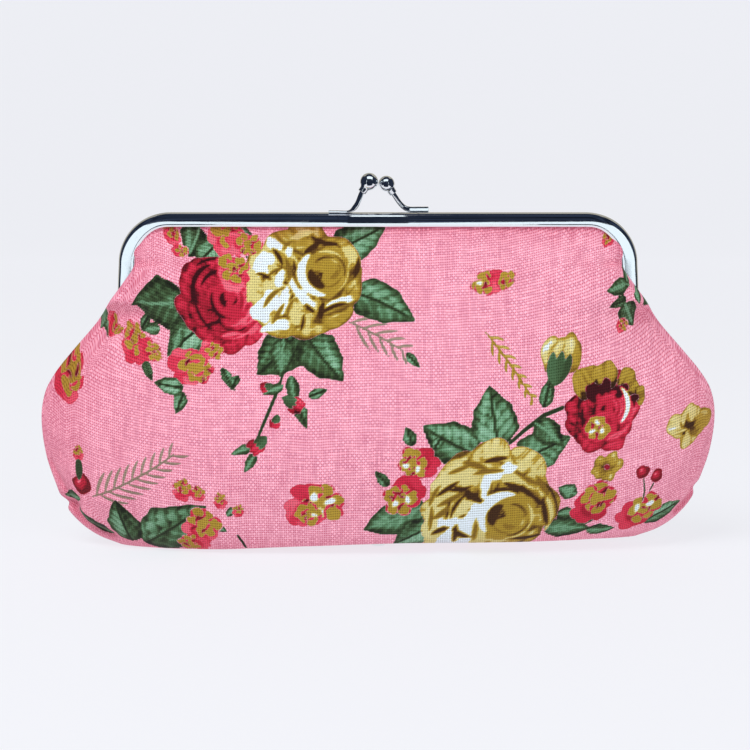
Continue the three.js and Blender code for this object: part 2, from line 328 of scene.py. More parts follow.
def panel_points(rows, columns, moves=None, offset=0.0):
    """The front panel's points, moved as its cloth settled and set in from its outer face."""
    v, u = panel_grid(rows, columns)
    points = np.stack(relax_and_sag(*panel_surface(u, v)), axis=2)
    if moves is not None:
        points = points + resampled(moves, rows, columns)
        points[:, :, 1] = np.minimum(points[:, :, 1], -CANVAS_GAP)
        points[:, :, 2] = np.maximum(points[:, :, 2], 0.0)
    if offset:
        points = points - offset * outward_normals(points)
        points[:, :, 1] = np.minimum(points[:, :, 1], -LINING_GAP)
        points[:, :, 2] = np.maximum(points[:, :, 2], offset)
    return points


def resampled(grid, rows, columns):
    """A coarse grid of vectors, spread smoothly over a finer one."""
    r = np.linspace(0, grid.shape[0] - 1, rows)
    c = np.linspace(0, grid.shape[1] - 1, columns)
    i, j = np.minimum(r.astype(int), grid.shape[0] - 2), np.minimum(c.astype(int), grid.shape[1] - 2)
    fr, fc = (r - i)[:, None, None], (c - j)[None, :, None]
    fine = (grid[i][:, j] * (1 - fr) * (1 - fc) + grid[i + 1][:, j] * fr * (1 - fc)
            + grid[i][:, j + 1] * (1 - fr) * fc + grid[i + 1][:, j + 1] * fr * fc)
    reach = max(rows // grid.shape[0], 1)
    return np.stack([blurred(blurred(fine[:, :, k], reach), reach) for k in range(3)], axis=2)


SETTLE_ROWS, SETTLE_COLUMNS = 61, 105
SETTLE_SCALE = 10.0  # the trial panel is this much larger, as the solver works best at that size
SETTLE_FRAMES = 20
MOST_MOVE = 1.7
HELD_SIDES = (0.93, 1.0)  # shares of the half width between which the hold grows to full
HELD_HEIGHTS = (84, 92)
BROAD_REACH, BROAD_SHARE, FINE_GAIN = 8, 0.25, 1.3
# How hard each half's filling presses, and by how much its cloth is cut too large.
FILLINGS = {"front": (1.5, 0.014), "back": (3.0, 0.010)}


def settle(pressure, slack):
    """Simulates a coarse front panel as cloth held at its seams and in the channel.

    The cloth is cut larger than its shape by the slack, and the filling presses it out, so that it
    buckles softly. Returns how far each point went, in millimetres, kept below MOST_MOVE."""
    start = panel_points(SETTLE_ROWS, SETTLE_COLUMNS)
    faces = grid_faces(SETTLE_ROWS, SETTLE_COLUMNS).tolist()
    trial = make_object("settling_panel", start.reshape(-1, 3) * SETTLE_SCALE, faces)
    v, u = panel_grid(SETTLE_ROWS, SETTLE_COLUMNS)
    held = np.maximum.reduce([smoothstep(*HELD_SIDES, np.abs(u)),
                              smoothstep(BOTTOM_ROWS_SHARE + 0.06, BOTTOM_ROWS_SHARE, v),
                              smoothstep(*HELD_HEIGHTS, start[:, :, 2])])
    group = trial.vertex_groups.new(name="held")
    for index, weight in enumerate(held.ravel()):
        if weight > 0.01:
            group.add([index], float(weight), "REPLACE")
    modifier = trial.modifiers.new("settle", "CLOTH")
    modifier.point_cache.frame_end = SETTLE_FRAMES
    settings = modifier.settings
    settings.vertex_group_mass = "held"
    settings.mass = 0.3
    settings.tension_stiffness = 25
    settings.compression_stiffness = 25
    settings.shear_stiffness = 10
    settings.bending_stiffness = 0.15
    settings.shrink_min = -slack
    settings.use_pressure = True
    settings.uniform_pressure_force = pressure
    settings.effector_weights.gravity = 0.0
    for number in range(1, SETTLE_FRAMES + 1):
        scene.frame_set(number)
    settled = trial.evaluated_get(bpy.context.evaluated_depsgraph_get()).data
    places = np.zeros(3 * SETTLE_ROWS * SETTLE_COLUMNS)
    settled.vertices.foreach_get("co", places)
    moved = places.reshape(SETTLE_ROWS, SETTLE_COLUMNS, 3) / (MM * SETTLE_SCALE) - start
    mesh = trial.data
    bpy.data.objects.remove(trial)
    bpy.data.meshes.remove(mesh)
    scene.frame_set(1)
    # The broad bulge is kept small, so that the bag stays as deep as its frame and seams make it.
    broad = np.stack([blurred(moved[:, :, k], BROAD_REACH) for k in range(3)], axis=2)
    moved = BROAD_SHARE * broad + FINE_GAIN * (moved - broad)
    return MOST_MOVE * np.tanh(moved / MOST_MOVE) * (1 - held[:, :, None])


def cloth_coordinates(points):
    """Each point's place on the flat cloth, in millimetres: across from the middle, and up."""
    step = np.diff(points, axis=1)
    run = np.hypot(step[:, :, 0], step[:, :, 1])
    s = np.concatenate([np.zeros((len(points), 1)), np.cumsum(run, axis=1)], axis=1)
    middle = points.shape[1] // 2
    s = s - s[:, middle:middle + 1]
    rise = np.diff(points, axis=0)
    climb = np.hypot(rise[:, :, 1], rise[:, :, 2])
    t = np.concatenate([np.zeros((1, points.shape[1])), np.cumsum(climb, axis=0)], axis=0)
    return s, t


def closed_panel(name, outer, thickness, inner_step):
    """A closed sheet: a fine outer face, a coarser inner one and a strip round the edge."""
    rows, columns = outer.shape[:2]
    inner = outer - thickness * outward_normals(outer)
    inner[:, :, 1] = np.minimum(inner[:, :, 1], -INSIDE_GAP)
    inner = inner[::inner_step, ::inner_step]
    inner_rows, inner_columns = inner.shape[:2]
    points = np.concatenate([outer.reshape(-1, 3), inner.reshape(-1, 3)])
    start = rows * columns
    quads = np.concatenate([grid_faces(rows, columns),
                            grid_faces(inner_rows, inner_columns, start, flip=True)])
    faces = quads.tolist()
    fine = [r * columns + c for r, c in boundary(rows, columns, 1)]
    coarse = [start + r * inner_columns + c
              for r, c in boundary(inner_rows, inner_columns, 1)]
    for i, first in enumerate(coarse):
        second = coarse[(i + 1) % len(coarse)]
        chain = [fine[(i * inner_step + k) % len(fine)] for k in range(inner_step + 1)]
        faces.append(tuple(reversed(chain)) + (first, second))
    return make_object(name, points, faces)


def store_cloth_map(obj, s, t, inner_step):
    """Writes the cloth coordinates, in millimetres, as the mesh's UV map."""
    grid = np.stack([s, t], axis=2)
    both = np.concatenate([grid.reshape(-1, 2), grid[::inner_step, ::inner_step].reshape(-1, 2)])
    mesh = obj.data
    corner = np.zeros(len(mesh.loops), dtype=np.int32)
    mesh.loops.foreach_get("vertex_index", corner)
    layer = mesh.uv_layers.new(name="cloth")
    layer.data.foreach_set("uv", both[corner].astype(np.float32).ravel())


# ---- The printed pattern ---------------------------------------------------------------------
# Inks are laid over one another as soft fields, which the material cuts to crisp edges. A tone
# from 0 to 1 picks an ink's shade, from its darkest line to its glints.

INKS = ("gold", "red", "leaf", "sage")
LINE, DARK, BODY, LIGHT, GLINT = 0.08, 0.28, 0.50, 0.73, 0.96


class Print:
    """Ink and tone over a cloth. Places are in millimetres, as seen by someone who faces it."""

    def __init__(self, points, s, t, mirror):
        self.s, self.t = mirror * s.ravel(), t.ravel()
        self.seen = points[:, :, (0, 2)].reshape(-1, 2) * (mirror, 1)
        self.fields = {ink: np.zeros(self.s.size) for ink in INKS}
        self.tone = np.full(self.s.size, BODY)
        self.on_face = np.flatnonzero(self.t > 14)
        self.shift = (0, 0)

    def place(self, x, z):
        """The cloth coordinates of the point seen at x, z."""
        x, z = x + self.shift[0], z + self.shift[1]
        seen = self.seen[self.on_face]
        i = self.on_face[np.argmin(np.hypot(seen[:, 0] - x, seen[:, 1] - z))]
        return np.array([self.s[i] + x - self.seen[i, 0], self.t[i] + z - self.seen[i, 1]])

    def window(self, centre, reach, angle=0.0):
        """The points within reach of a place, and their coordinates along and across an angle."""
        s, t = self.s - centre[0], self.t - centre[1]
        index = np.flatnonzero((np.abs(s) < reach) & (np.abs(t) < reach))
        c, k = math.cos(angle), math.sin(angle)
        return index, s[index] * c + t[index] * k, t[index] * c - s[index] * k

    def lay(self, ink, index, depth_inside, tone, softness=0.5):
        """Covers points by how far inside a shape they are, in millimetres."""
        cover = np.clip(0.5 + depth_inside / softness, 0, 1)
        for name, field in self.fields.items():
            field[index] = field[index] * (1 - cover) + (cover if name == ink else 0)
        self.tone[index] = self.tone[index] * (1 - cover) + np.clip(tone, 0, 1) * cover


def towards(place, angle, distance):
    return np.array([place[0] + distance * math.cos(angle), place[1] + distance * math.sin(angle)])


def uneven_oval(p, q, length, width, rng, wobble=0.07):
    """How far inside an uneven oval each point is, in millimetres."""
    around = np.arctan2(q / width, p / length)
    phase = rng.uniform(0, 2 * math.pi, 3)
    edge = 1 + wobble * (np.sin(2 * around + phase[0]) + 0.8 * np.sin(3 * around + phase[1])
                         + 0.5 * np.sin(5 * around + phase[2]))
    return (edge - np.hypot(p / length, q / width)) * min(length, width)


def paint_patch(sheet, ink, centre, angle, length, width, tone, rng, wobble=0.07):
    """An uneven oval of one tone, given by its half length and half width."""
    index, p, q = sheet.window(centre, 1.3 * max(length, width), angle)
    sheet.lay(ink, index, uneven_oval(p, q, length, width, rng, wobble), tone)


def paint_petal(sheet, ink, centre, angle, length, width, tones, rng):
    """A petal with brushed shade at its base, a light tip and a thin dark rim."""
    index, p, q = sheet.window(centre, 1.3 * max(length, width), angle)
    inside = uneven_oval(p, q, length, width, rng, 0.11)
    fan = 0.17 * np.sin(q * rng.uniform(1.8, 2.6) + rng.uniform(0, 6)) + 0.08 * np.sin(q * 4.1)
    along = p / length + fan
    base, dark, light = tones
    tone = dark + (base - dark) * smoothstep(-0.62, -0.36, along)
    tone = tone + (light - base) * smoothstep(0.12, 0.30, along) * smoothstep(0.5, 0.9, inside)
    tone = tone - 0.14 * smoothstep(0.55, 0.05, inside)
    bristle = smooth_noise(0.3 * p + 300 + centre[0], 1.9 * q + 300 + centre[1], 1.7, 7, 2)
    tone = tone - 0.16 * smoothstep(0.15, 0.7, bristle) + 0.08 * smoothstep(0.1, 0.7, -bristle)
    sheet.lay(ink, index, inside, tone)


def paint_stroke(sheet, ink, places, width, tone, blunt=0.12):
    """A brush stroke through cloth places, widest in its middle and fine at its ends."""
    places = np.asarray(places, float)
    low, high = places.min(0) - width - 1, places.max(0) + width + 1
    index = np.flatnonzero((sheet.s > low[0]) & (sheet.s < high[0]) & (sheet.t > low[1])
                           & (sheet.t < high[1]))
    s, t = sheet.s[index], sheet.t[index]
    nearest, share = np.full(index.size, 1e9), np.zeros(index.size)
    for i, ((s0, t0), (s1, t1)) in enumerate(zip(places, places[1:])):
        ds, dt = s1 - s0, t1 - t0
        k = np.clip(((s - s0) * ds + (t - t0) * dt) / (ds * ds + dt * dt + 1e-9), 0, 1)
        distance = np.hypot(s - s0 - k * ds, t - t0 - k * dt)
        closer = distance < nearest
        nearest = np.where(closer, distance, nearest)
        share = np.where(closer, (i + k) / (len(places) - 1), share)
    half = width / 2 * (blunt + (1 - blunt) * np.sin(math.pi * share) ** 0.6)
    sheet.lay(ink, index, half - nearest, tone)


def arc(centre, radius, middle, sweep, steps=9):
    """Places along an arc round a cloth place, from its middle direction and its whole sweep."""
    return [towards(centre, middle + sweep * (k / (steps - 1) - 0.5), radius) for k in range(steps)]


def bent(start, angle, length, bend, steps=7):
    """Places along a curve that leaves a cloth place at an angle and turns by bend on its way."""
    places = [np.array(start, float)]
    for k in range(steps):
        places.append(towards(places[-1], angle + bend * (k + 0.5) / steps, length / steps))
    return places


# A whorl's folds, as (radius share, direction from its open side, sweep, width share, tone).
WHORL_FOLDS = {
    "gold": [(0.98, 2.5, 1.3, 0.10, LIGHT), (0.92, 3.9, 1.3, 0.16, LIGHT), (0.98, 0.0, 2.5, 0.42, GLINT),
             (0.80, 3.0, 1.5, 0.07, LINE), (0.66, 1.6, 1.3, 0.08, DARK), (0.62, 4.4, 1.4, 0.09, LINE),
             (0.52, 3.2, 1.3, 0.07, DARK), (0.50, 3.5, 0.8, 0.15, 0.66), (0.34, 2.0, 1.6, 0.24, 0.34),
             (0.66, 0.1, 1.5, 0.46, LINE)],
    "red": [(0.90, 0.2, 1.8, 0.20, LINE), (0.94, 2.7, 1.4, 0.11, 0.70), (0.88, 4.2, 1.4, 0.10, 0.66),
            (0.70, 2.9, 1.6, 0.11, DARK), (0.60, 3.6, 1.5, 0.10, 0.70), (0.46, -0.3, 1.6, 0.30, LINE),
            (0.42, 2.9, 1.4, 0.09, 0.66), (0.26, 2.4, 1.8, 0.12, LINE)],
}


def paint_whorl(sheet, ink, centre, radius, open_side, rng):
    """The rolled petals round a rose's heart, which bunch up away from the side where they open."""
    paint_patch(sheet, ink, centre, open_side, 0.95 * radius, radius, 0.45, rng, 0.09)
    for at, direction, sweep, width, tone in WHORL_FOLDS[ink]:
        middle = open_side + direction + rng.uniform(-0.2, 0.2)
        pivot = towards(centre, open_side + math.pi, 0.34 * (1 - at) * radius)
        paint_stroke(sheet, ink, arc(pivot, at * radius, middle, sweep), width * radius, tone)
    for lean in (-0.45, 0.1, 0.6):
        root = towards(centre, open_side + lean, 0.42 * radius)
        paint_stroke(sheet, ink, bent(root, open_side + math.pi + lean, 0.36 * radius, 0.8 * lean, 5),
                     0.09 * radius, LINE)


def paint_fan(sheet, ink, root, angle, length, spread, width, tone, rng):
    """Brush strokes side by side from a root, of uneven length, that run together as one patch."""
    for share in np.linspace(-1, 1, 5):
        start = towards(root, angle + math.pi / 2, 0.7 * share * width * 2)
        reach = length * (1 - 0.35 * abs(share)) * rng.uniform(0.75, 1.1)
        paint_stroke(sheet, ink, bent(start, angle + share * spread, reach, 0.3 * share, 5), width, tone)


def paint_rose(sheet, ink, x, z, radius, seed, whorl, pale=0.3, marks=(), crescents=()):
    """A full rose. whorl is its heart's distance, as a share of the radius, and its direction.

    marks are brush marks as (x, z, heading, half length, half width, tone), and crescents are petal
    edges round the heart as (radius, direction, sweep, width, tone), with lengths as shares too."""
    rng = np.random.default_rng(seed)
    centre = sheet.place(x, z)
    share, heading = whorl[0], math.radians(whorl[1])
    gold = ink == "gold"
    light = LIGHT if gold else 0.56
    paint_patch(sheet, ink, centre, 0, 0.8 * radius, 0.8 * radius, DARK, rng)
    for ring, (at, count, size) in enumerate(((0.66, 9, 0.38), (0.40, 6, 0.36))):
        for k in rng.permutation(count):
            angle = 0.5 * ring + 2 * math.pi * (k + rng.uniform(-0.2, 0.2)) / count
            long = size * radius * rng.uniform(0.84, 1.06)
            wide = size * radius * rng.uniform(0.96, 1.24)
            middle = towards(centre, angle, at * radius * rng.uniform(0.92, 1.04))
            away = math.cos(angle - heading)
            body = LIGHT - 0.02 if gold and rng.uniform() < pale - 0.3 * away else BODY
            body += rng.uniform(-0.06, 0.03) - 0.05 * away if gold else 0.13 * away - 0.08
            paint_patch(sheet, ink, towards(middle, angle, -0.05 * radius), angle, 1.05 * long,
                        1.06 * wide, 0.5 * (LINE + DARK), rng)
            paint_petal(sheet, ink, middle, angle, long, wide,
                        (body, DARK - 0.04, body + (0.5 * (light - body) if body < light else 0)), rng)
            paint_fan(sheet, ink, towards(middle, angle, -0.75 * long), angle, 1.05 * long, 0.6,
                      0.04 * radius, LINE if gold else 0.14, rng)
            paint_stroke(sheet, ink, arc(towards(middle, angle, -0.35 * long), 0.92 * long,
                                         angle + rng.uniform(-0.3, 0.3), 1.5), 0.05 * radius,
                         light if gold else body + 0.16)
    heart = towards(centre, heading, share * radius)
    for at, direction, sweep, wide, tone in crescents:
        paint_stroke(sheet, ink, arc(heart, at * radius, math.radians(direction), sweep), wide * radius, tone)
    for dx, dz, angle, long, wide, tone in marks:
        place = centre + radius * np.array([dx, dz])
        if wide < 0.07:
            start = towards(place, math.radians(angle), -long * radius)
            bend = rng.uniform(-0.9, 0.9)
            paint_stroke(sheet, ink, bent(start, math.radians(angle) - bend / 2, 2 * long * radius, bend),
                         2 * wide * radius, tone)
        else:
            for part in (-0.5, 0.0, 0.5):
                spot = towards(place, math.radians(angle), part * long * radius)
                spot = spot + rng.uniform(-0.25, 0.25, 2) * wide * radius
                paint_patch(sheet, ink, spot, math.radians(angle), 0.62 * long * radius,
                            rng.uniform(0.8, 1.05) * wide * radius, tone, rng, 0.13)
    paint_whorl(sheet, ink, heart, 0.40 * radius, heading + math.pi, rng)


def paint_leaf(sheet, x, z, angle_deg, length, width, seed, tones=(0.26, 0.52), bend=0.0, ink="leaf"):
    """A pointed leaf from its stalk end. tones are those of its left and right halves."""
    index, p, q = sheet.window(sheet.place(x, z), 1.2 * length, math.radians(angle_deg))
    q = q - bend * p * (1 - p / length)
    along = np.clip(p / length, 0, 1)
    half = width / 2 * np.sin(math.pi * along ** 0.74) ** 0.92
    half = half * (1 + 0.05 * np.sin(along * 17 + seed) + 0.03 * np.sin(along * 31 + 2 * seed))
    inside = np.where((p > 0) & (p < length), half - np.abs(q), -1.5)
    inside = np.minimum(inside, np.minimum(p, length - p) * 0.6)
    tone = np.where(q > 0, tones[0], tones[1])
    brushed = smooth_noise(p * 0.6 + 1.2 * np.abs(q) + 40 + 9 * seed, q + 60, 2.8, seed, 3)
    vein_phase = ((p - 0.95 * np.abs(q)) * 6.0 / length + 0.26 * brushed) % 1.0
    vein = smoothstep(0.24, 0.10, np.abs(vein_phase - 0.5)) * smoothstep(0.2, 0.7, np.abs(q))
    middle = smoothstep(0.02, 0.26, inside / width)
    tone = tone - 0.08 + 0.20 * middle + 0.17 * brushed + vein * np.where(tone > 0.4, -0.19, 0.12)
    tone = tone - 0.16 * smoothstep(1.3, 0.2, inside) * (tone > 0.30)
    midrib = smoothstep(0.50, 0.22, np.abs(q)) * smoothstep(0.98, 0.8, along)
    tone = tone * (1 - midrib) + (0.16 if max(tones) > 0.4 else 0.58) * midrib
    sheet.lay(ink, index, inside, tone)


def paint_fern(sheet, x, z, angle_deg, length, leaflet, bend_deg=20, ink="sage", tone=BODY):
    """A fine stem with pairs of slender leaflets that shorten towards its tip."""
    pairs = max(int(length / 3.4), 3)
    stem = bent(sheet.place(x, z), math.radians(angle_deg), length, math.radians(bend_deg), pairs)
    paint_stroke(sheet, ink, stem, 0.62, tone - 0.2, blunt=0.7)
    for k in range(1, len(stem)):
        step = stem[k] - stem[k - 1]
        heading = math.atan2(step[1], step[0])
        size = leaflet * (1.05 - 0.6 * k / len(stem))
        for side in (-1, 1):
            root = stem[k] - step * (0.5 if side > 0 else 0.1)
            blade = bent(root, heading + side * 0.80, size, -side * 0.35, 4)
            paint_stroke(sheet, ink, blade, max(0.11 * size, 0.85), tone + 0.1 * side, blunt=0.2)


def paint_cluster(sheet, x, z, radius, seed, lean_deg=0.0, glints=1, red=0.62, gold=6):
    """Crowded small florets: gold lumps over red ones, more gold towards where they lean."""
    rng = np.random.default_rng(seed)
    centre, lean = sheet.place(x, z), math.radians(lean_deg)
    red_side = towards(centre, lean, -0.22 * radius)
    for k in range(6):
        at = towards(red_side, 1.05 * k + rng.uniform(-0.3, 0.3), 0.48 * radius)
        paint_patch(sheet, "red", at, 0, 0.40 * radius, 0.36 * radius, red + rng.uniform(-0.1, 0.1), rng)
    paint_patch(sheet, "red", red_side, 0, 0.4 * radius, 0.4 * radius, red - 0.16, rng)
    gold_side = towards(centre, lean, 0.26 * radius)
    lumps = [(towards(gold_side, 1.05 * k + rng.uniform(-0.3, 0.3), rng.uniform(0.36, 0.60) * radius),
              rng.uniform(0.26, 0.36) * radius) for k in range(gold)]
    for at, size in lumps + [(gold_side, 0.32 * radius)]:
        paint_patch(sheet, "red", at, 0, 1.1 * size, 1.1 * size, red - 0.04, rng)
        paint_patch(sheet, "gold", at, rng.uniform(0, 3), size, 0.84 * size, rng.uniform(0.42, 0.56),
                    rng, 0.13)
    for k in range(4):
        at = towards(gold_side, rng.uniform(0, 6), rng.uniform(0.1, 0.5) * radius)
        paint_stroke(sheet, "red", bent(at, rng.uniform(0, 6), 0.34 * radius, 1.0, 4), 0.10 * radius, 0.14)
    for k in range(glints):
        at = towards(gold_side, lean + 2.2 * k, 0.34 * radius)
        paint_patch(sheet, "gold", at, lean + k, 0.20 * radius, 0.13 * radius, GLINT, rng, 0.1)


def paint_blossom(sheet, ink, x, z, radius, seed, heart="red", flat=1.0):
    """A small open flower of blunt petals round a dark heart."""
    rng = np.random.default_rng(seed)
    centre = sheet.place(x, z)
    turn = rng.uniform(0, 2 * math.pi)
    for k in range(5):
        angle = turn + 1.257 * k + rng.uniform(-0.15, 0.15)
        petal = centre + 0.54 * radius * np.array([math.cos(angle), flat * math.sin(angle)])
        paint_petal(sheet, ink, petal, angle, 0.46 * radius, 0.46 * flat * radius,
                    (BODY + rng.uniform(-0.06, 0.04), DARK, LIGHT - 0.06), rng)
    paint_patch(sheet, heart, centre, turn, 0.20 * radius, 0.16 * radius, 0.3, rng)


def paint_bud(sheet, x, z, angle_deg, length, ink="red", lift=0.0):
    """A closed bud in its green cup, pointing at an angle. lift is how much paler its petals are."""
    rng = np.random.default_rng(int(length * 10))
    angle = math.radians(angle_deg)
    cup = sheet.place(x, z)
    for off, tone in ((-0.16, 0.30), (0.16, 0.58), (0.0, 0.50)):
        at = towards(towards(cup, angle, 0.34 * length), angle + math.pi / 2, off * length)
        paint_petal(sheet, ink, at, angle + off, 0.36 * length, (0.18 + 0.4 * lift) * length,
                    (tone + lift, DARK, tone + lift + 0.12), rng)
    for off in (-0.6, 0.0, 0.6):
        sepal = bent(towards(cup, angle, -0.2 * length), angle + off, 0.6 * length, -off, 4)
        paint_stroke(sheet, "leaf", sepal, 0.20 * length, 0.34 + 0.1 * off)


def paint_berry(sheet, x, z, radius):
    rng = np.random.default_rng(int(10 * radius))
    centre = sheet.place(x, z)
    paint_patch(sheet, "red", centre, 0, radius, radius, 0.2, rng)
    paint_patch(sheet, "red", towards(centre, 2.3, 0.2 * radius), 0, 0.6 * radius, 0.6 * radius, 0.42, rng)
    paint_patch(sheet, "red", towards(centre, 2.2, 0.4 * radius), 0, 0.22 * radius, 0.18 * radius, 0.8, rng)


def paint_leaves(sheet, leaves):
    """leaves are (x, z, angle, length, width, left tone, right tone, bend)."""
    for x, z, angle, length, width, left, right, bend in leaves:
        paint_leaf(sheet, x, z, angle, length, width, int(abs(3 * x) + z), (left, right), bend)


def paint_stem(sheet, points, width, tone=0.2):
    paint_stroke(sheet, "leaf", [sheet.place(x, z) for x, z in points], width, tone, blunt=0.6)


def paint_upper_bouquet(sheet):
    """Two roses side by side under the frame, with leaves, a fern and a hanging sprig."""
    paint_fern(sheet, -9.5, 68.5, -24, 19, 9, -10)
    paint_leaves(sheet, [
        (-55, 74, 196, 18, 12, 0.26, 0.20, 0.1), (-50, 67, 222, 15, 10, 0.60, 0.40, -0.1),
        (-52, 95, 250, 10, 9, 0.20, 0.30, 0.0), (-47, 90, 235, 10, 7, 0.66, 0.52, 0.0),
        (-34, 84, 115, 14, 6, 0.20, 0.30, 0.1), (-14, 86, 30, 19, 12, 0.30, 0.55, 0.1),
        (-9, 77, -26, 22, 12, 0.52, 0.28, 0.15), (-23, 65, 226, 17, 13, 0.22, 0.46, 0.1),
        (-21, 65, 308, 18, 12, 0.50, 0.24, -0.1), (-27, 64, 265, 12, 7, 0.24, 0.30, 0.0),
        (-57, 66, 250, 7, 4, 0.30, 0.22, 0.0), (-63, 66, 200, 6, 3, 0.34, 0.30, 0.0),
        (8.0, 59.4, -48, 6, 2.6, 0.66, 0.56, 0.0)])
    paint_stem(sheet, [(-27, 54), (-29.5, 47), (-32.5, 40), (-35, 34)], 1.0)
    paint_leaves(sheet, [(-25, 53, 275, 9, 4, 0.24, 0.3, 0.1), (-24, 47, 292, 10, 4, 0.5, 0.3, 0.0),
                         (-27, 50, 200, 7, 3, 0.3, 0.26, 0.0), (-20, 47, 20, 6, 3, 0.55, 0.4, 0.0),
                         (-35, 33, 200, 8, 3, 0.3, 0.4, 0.0), (-35, 31, 240, 7, 3, 0.26, 0.3, 0.0)])
    paint_bud(sheet, -33, 34.5, 222, 7)
    paint_bud(sheet, -26, 46, 330, 7.2)
    paint_bud(sheet, -29, 41, 250, 4.6)
    paint_bud(sheet, -31, 50, 195, 4.2)
    paint_rose(sheet, "red", -44.6, 73.4, 13.6, 5, (0.10, 30), marks=[
        (0.40, -0.30, -50, 0.20, 0.05, 0.70), (0.62, -0.10, 50, 0.18, 0.05, 0.72),
        (0.20, -0.66, 10, 0.24, 0.05, 0.70), (0.66, -0.52, 40, 0.16, 0.05, 0.68)],
        crescents=[(0.52, -40, 1.5, 0.06, 0.70), (0.64, -15, 1.3, 0.07, 0.72), (0.66, -75, 1.1, 0.05, LINE),
                   (0.78, -55, 1.2, 0.06, 0.70), (0.82, 0, 0.9, 0.06, 0.68), (0.60, 120, 1.5, 0.08, LINE),
                   (0.76, 160, 1.4, 0.09, LINE), (0.88, 110, 1.1, 0.08, LINE), (0.70, 215, 1.2, 0.07, LINE)])
    paint_rose(sheet, "gold", -21.5, 79.5, 17.4, 3, (0.38, 26), pale=0.25, marks=[
        (-0.70, 0.28, 80, 0.24, 0.16, GLINT), (-0.50, 0.66, -30, 0.15, 0.10, GLINT),
        (-0.24, 0.52, 80, 0.12, 0.06, GLINT), (-0.40, 0.04, 80, 0.14, 0.07, GLINT),
        (-0.64, -0.44, 60, 0.30, 0.17, GLINT), (-0.33, -0.36, 80, 0.22, 0.09, GLINT),
        (-0.45, -0.77, 20, 0.22, 0.09, GLINT), (0.58, -0.34, 15, 0.20, 0.08, GLINT),
        (-0.14, -0.10, 118, 0.34, 0.06, GLINT), (0.04, -0.30, -50, 0.20, 0.08, GLINT),
        (-0.86, -0.10, 80, 0.24, 0.09, LIGHT), (-0.10, -0.62, -30, 0.20, 0.10, LIGHT),
        (-0.05, 0.84, 20, 0.16, 0.08, LIGHT), (0.78, 0.48, -50, 0.20, 0.09, LIGHT),
        (-0.44, 0.40, -60, 0.18, 0.04, LINE), (-0.66, 0.06, -25, 0.14, 0.035, LINE),
        (-0.34, 0.72, -40, 0.20, 0.03, DARK), (-0.28, 0.18, -80, 0.20, 0.05, DARK),
        (-0.52, -0.30, 50, 0.20, 0.04, DARK), (-0.42, -0.56, 60, 0.20, 0.035, DARK),
        (-0.20, -0.46, 70, 0.18, 0.03, DARK), (0.12, -0.46, -40, 0.10, 0.04, LINE),
        (0.32, -0.48, 80, 0.14, 0.05, LINE), (0.52, -0.46, 20, 0.24, 0.04, LINE),
        (0.34, 0.74, -15, 0.24, 0.05, LINE), (0.12, 0.58, 40, 0.16, 0.05, LINE),
        (0.86, 0.24, 75, 0.18, 0.045, LINE), (0.72, 0.02, 40, 0.16, 0.03, DARK),
        (-0.02, -0.70, 80, 0.14, 0.03, LINE)],
        crescents=[(0.56, -60, 1.2, 0.05, DARK), (0.52, 80, 1.0, 0.05, LINE), (0.60, 0, 0.9, 0.05, DARK)])
    for x, z, radius, lean in ((-44, 92, 6.0, 60), (-39, 90, 4.6, 0), (-42, 82, 5.4, 90), (-54, 55, 6.4, 0),
                               (-48, 60, 3.2, 0), (-60, 93, 3.0, 90), (-57.5, 88, 2.4, 0)):
        paint_cluster(sheet, x, z, radius, int(200 + x + z), lean, glints=0, red=0.66, gold=8)
    paint_leaves(sheet, [(-56, 49, 178, 9, 5, 0.56, 0.4, 0.0), (-56, 48, 250, 7, 4, 0.5, 0.6, 0.0),
                         (-45, 55, 300, 8, 3, 0.5, 0.3, 0.0), (-40, 53, 240, 5, 2.4, 0.3, 0.5, 0.0)])


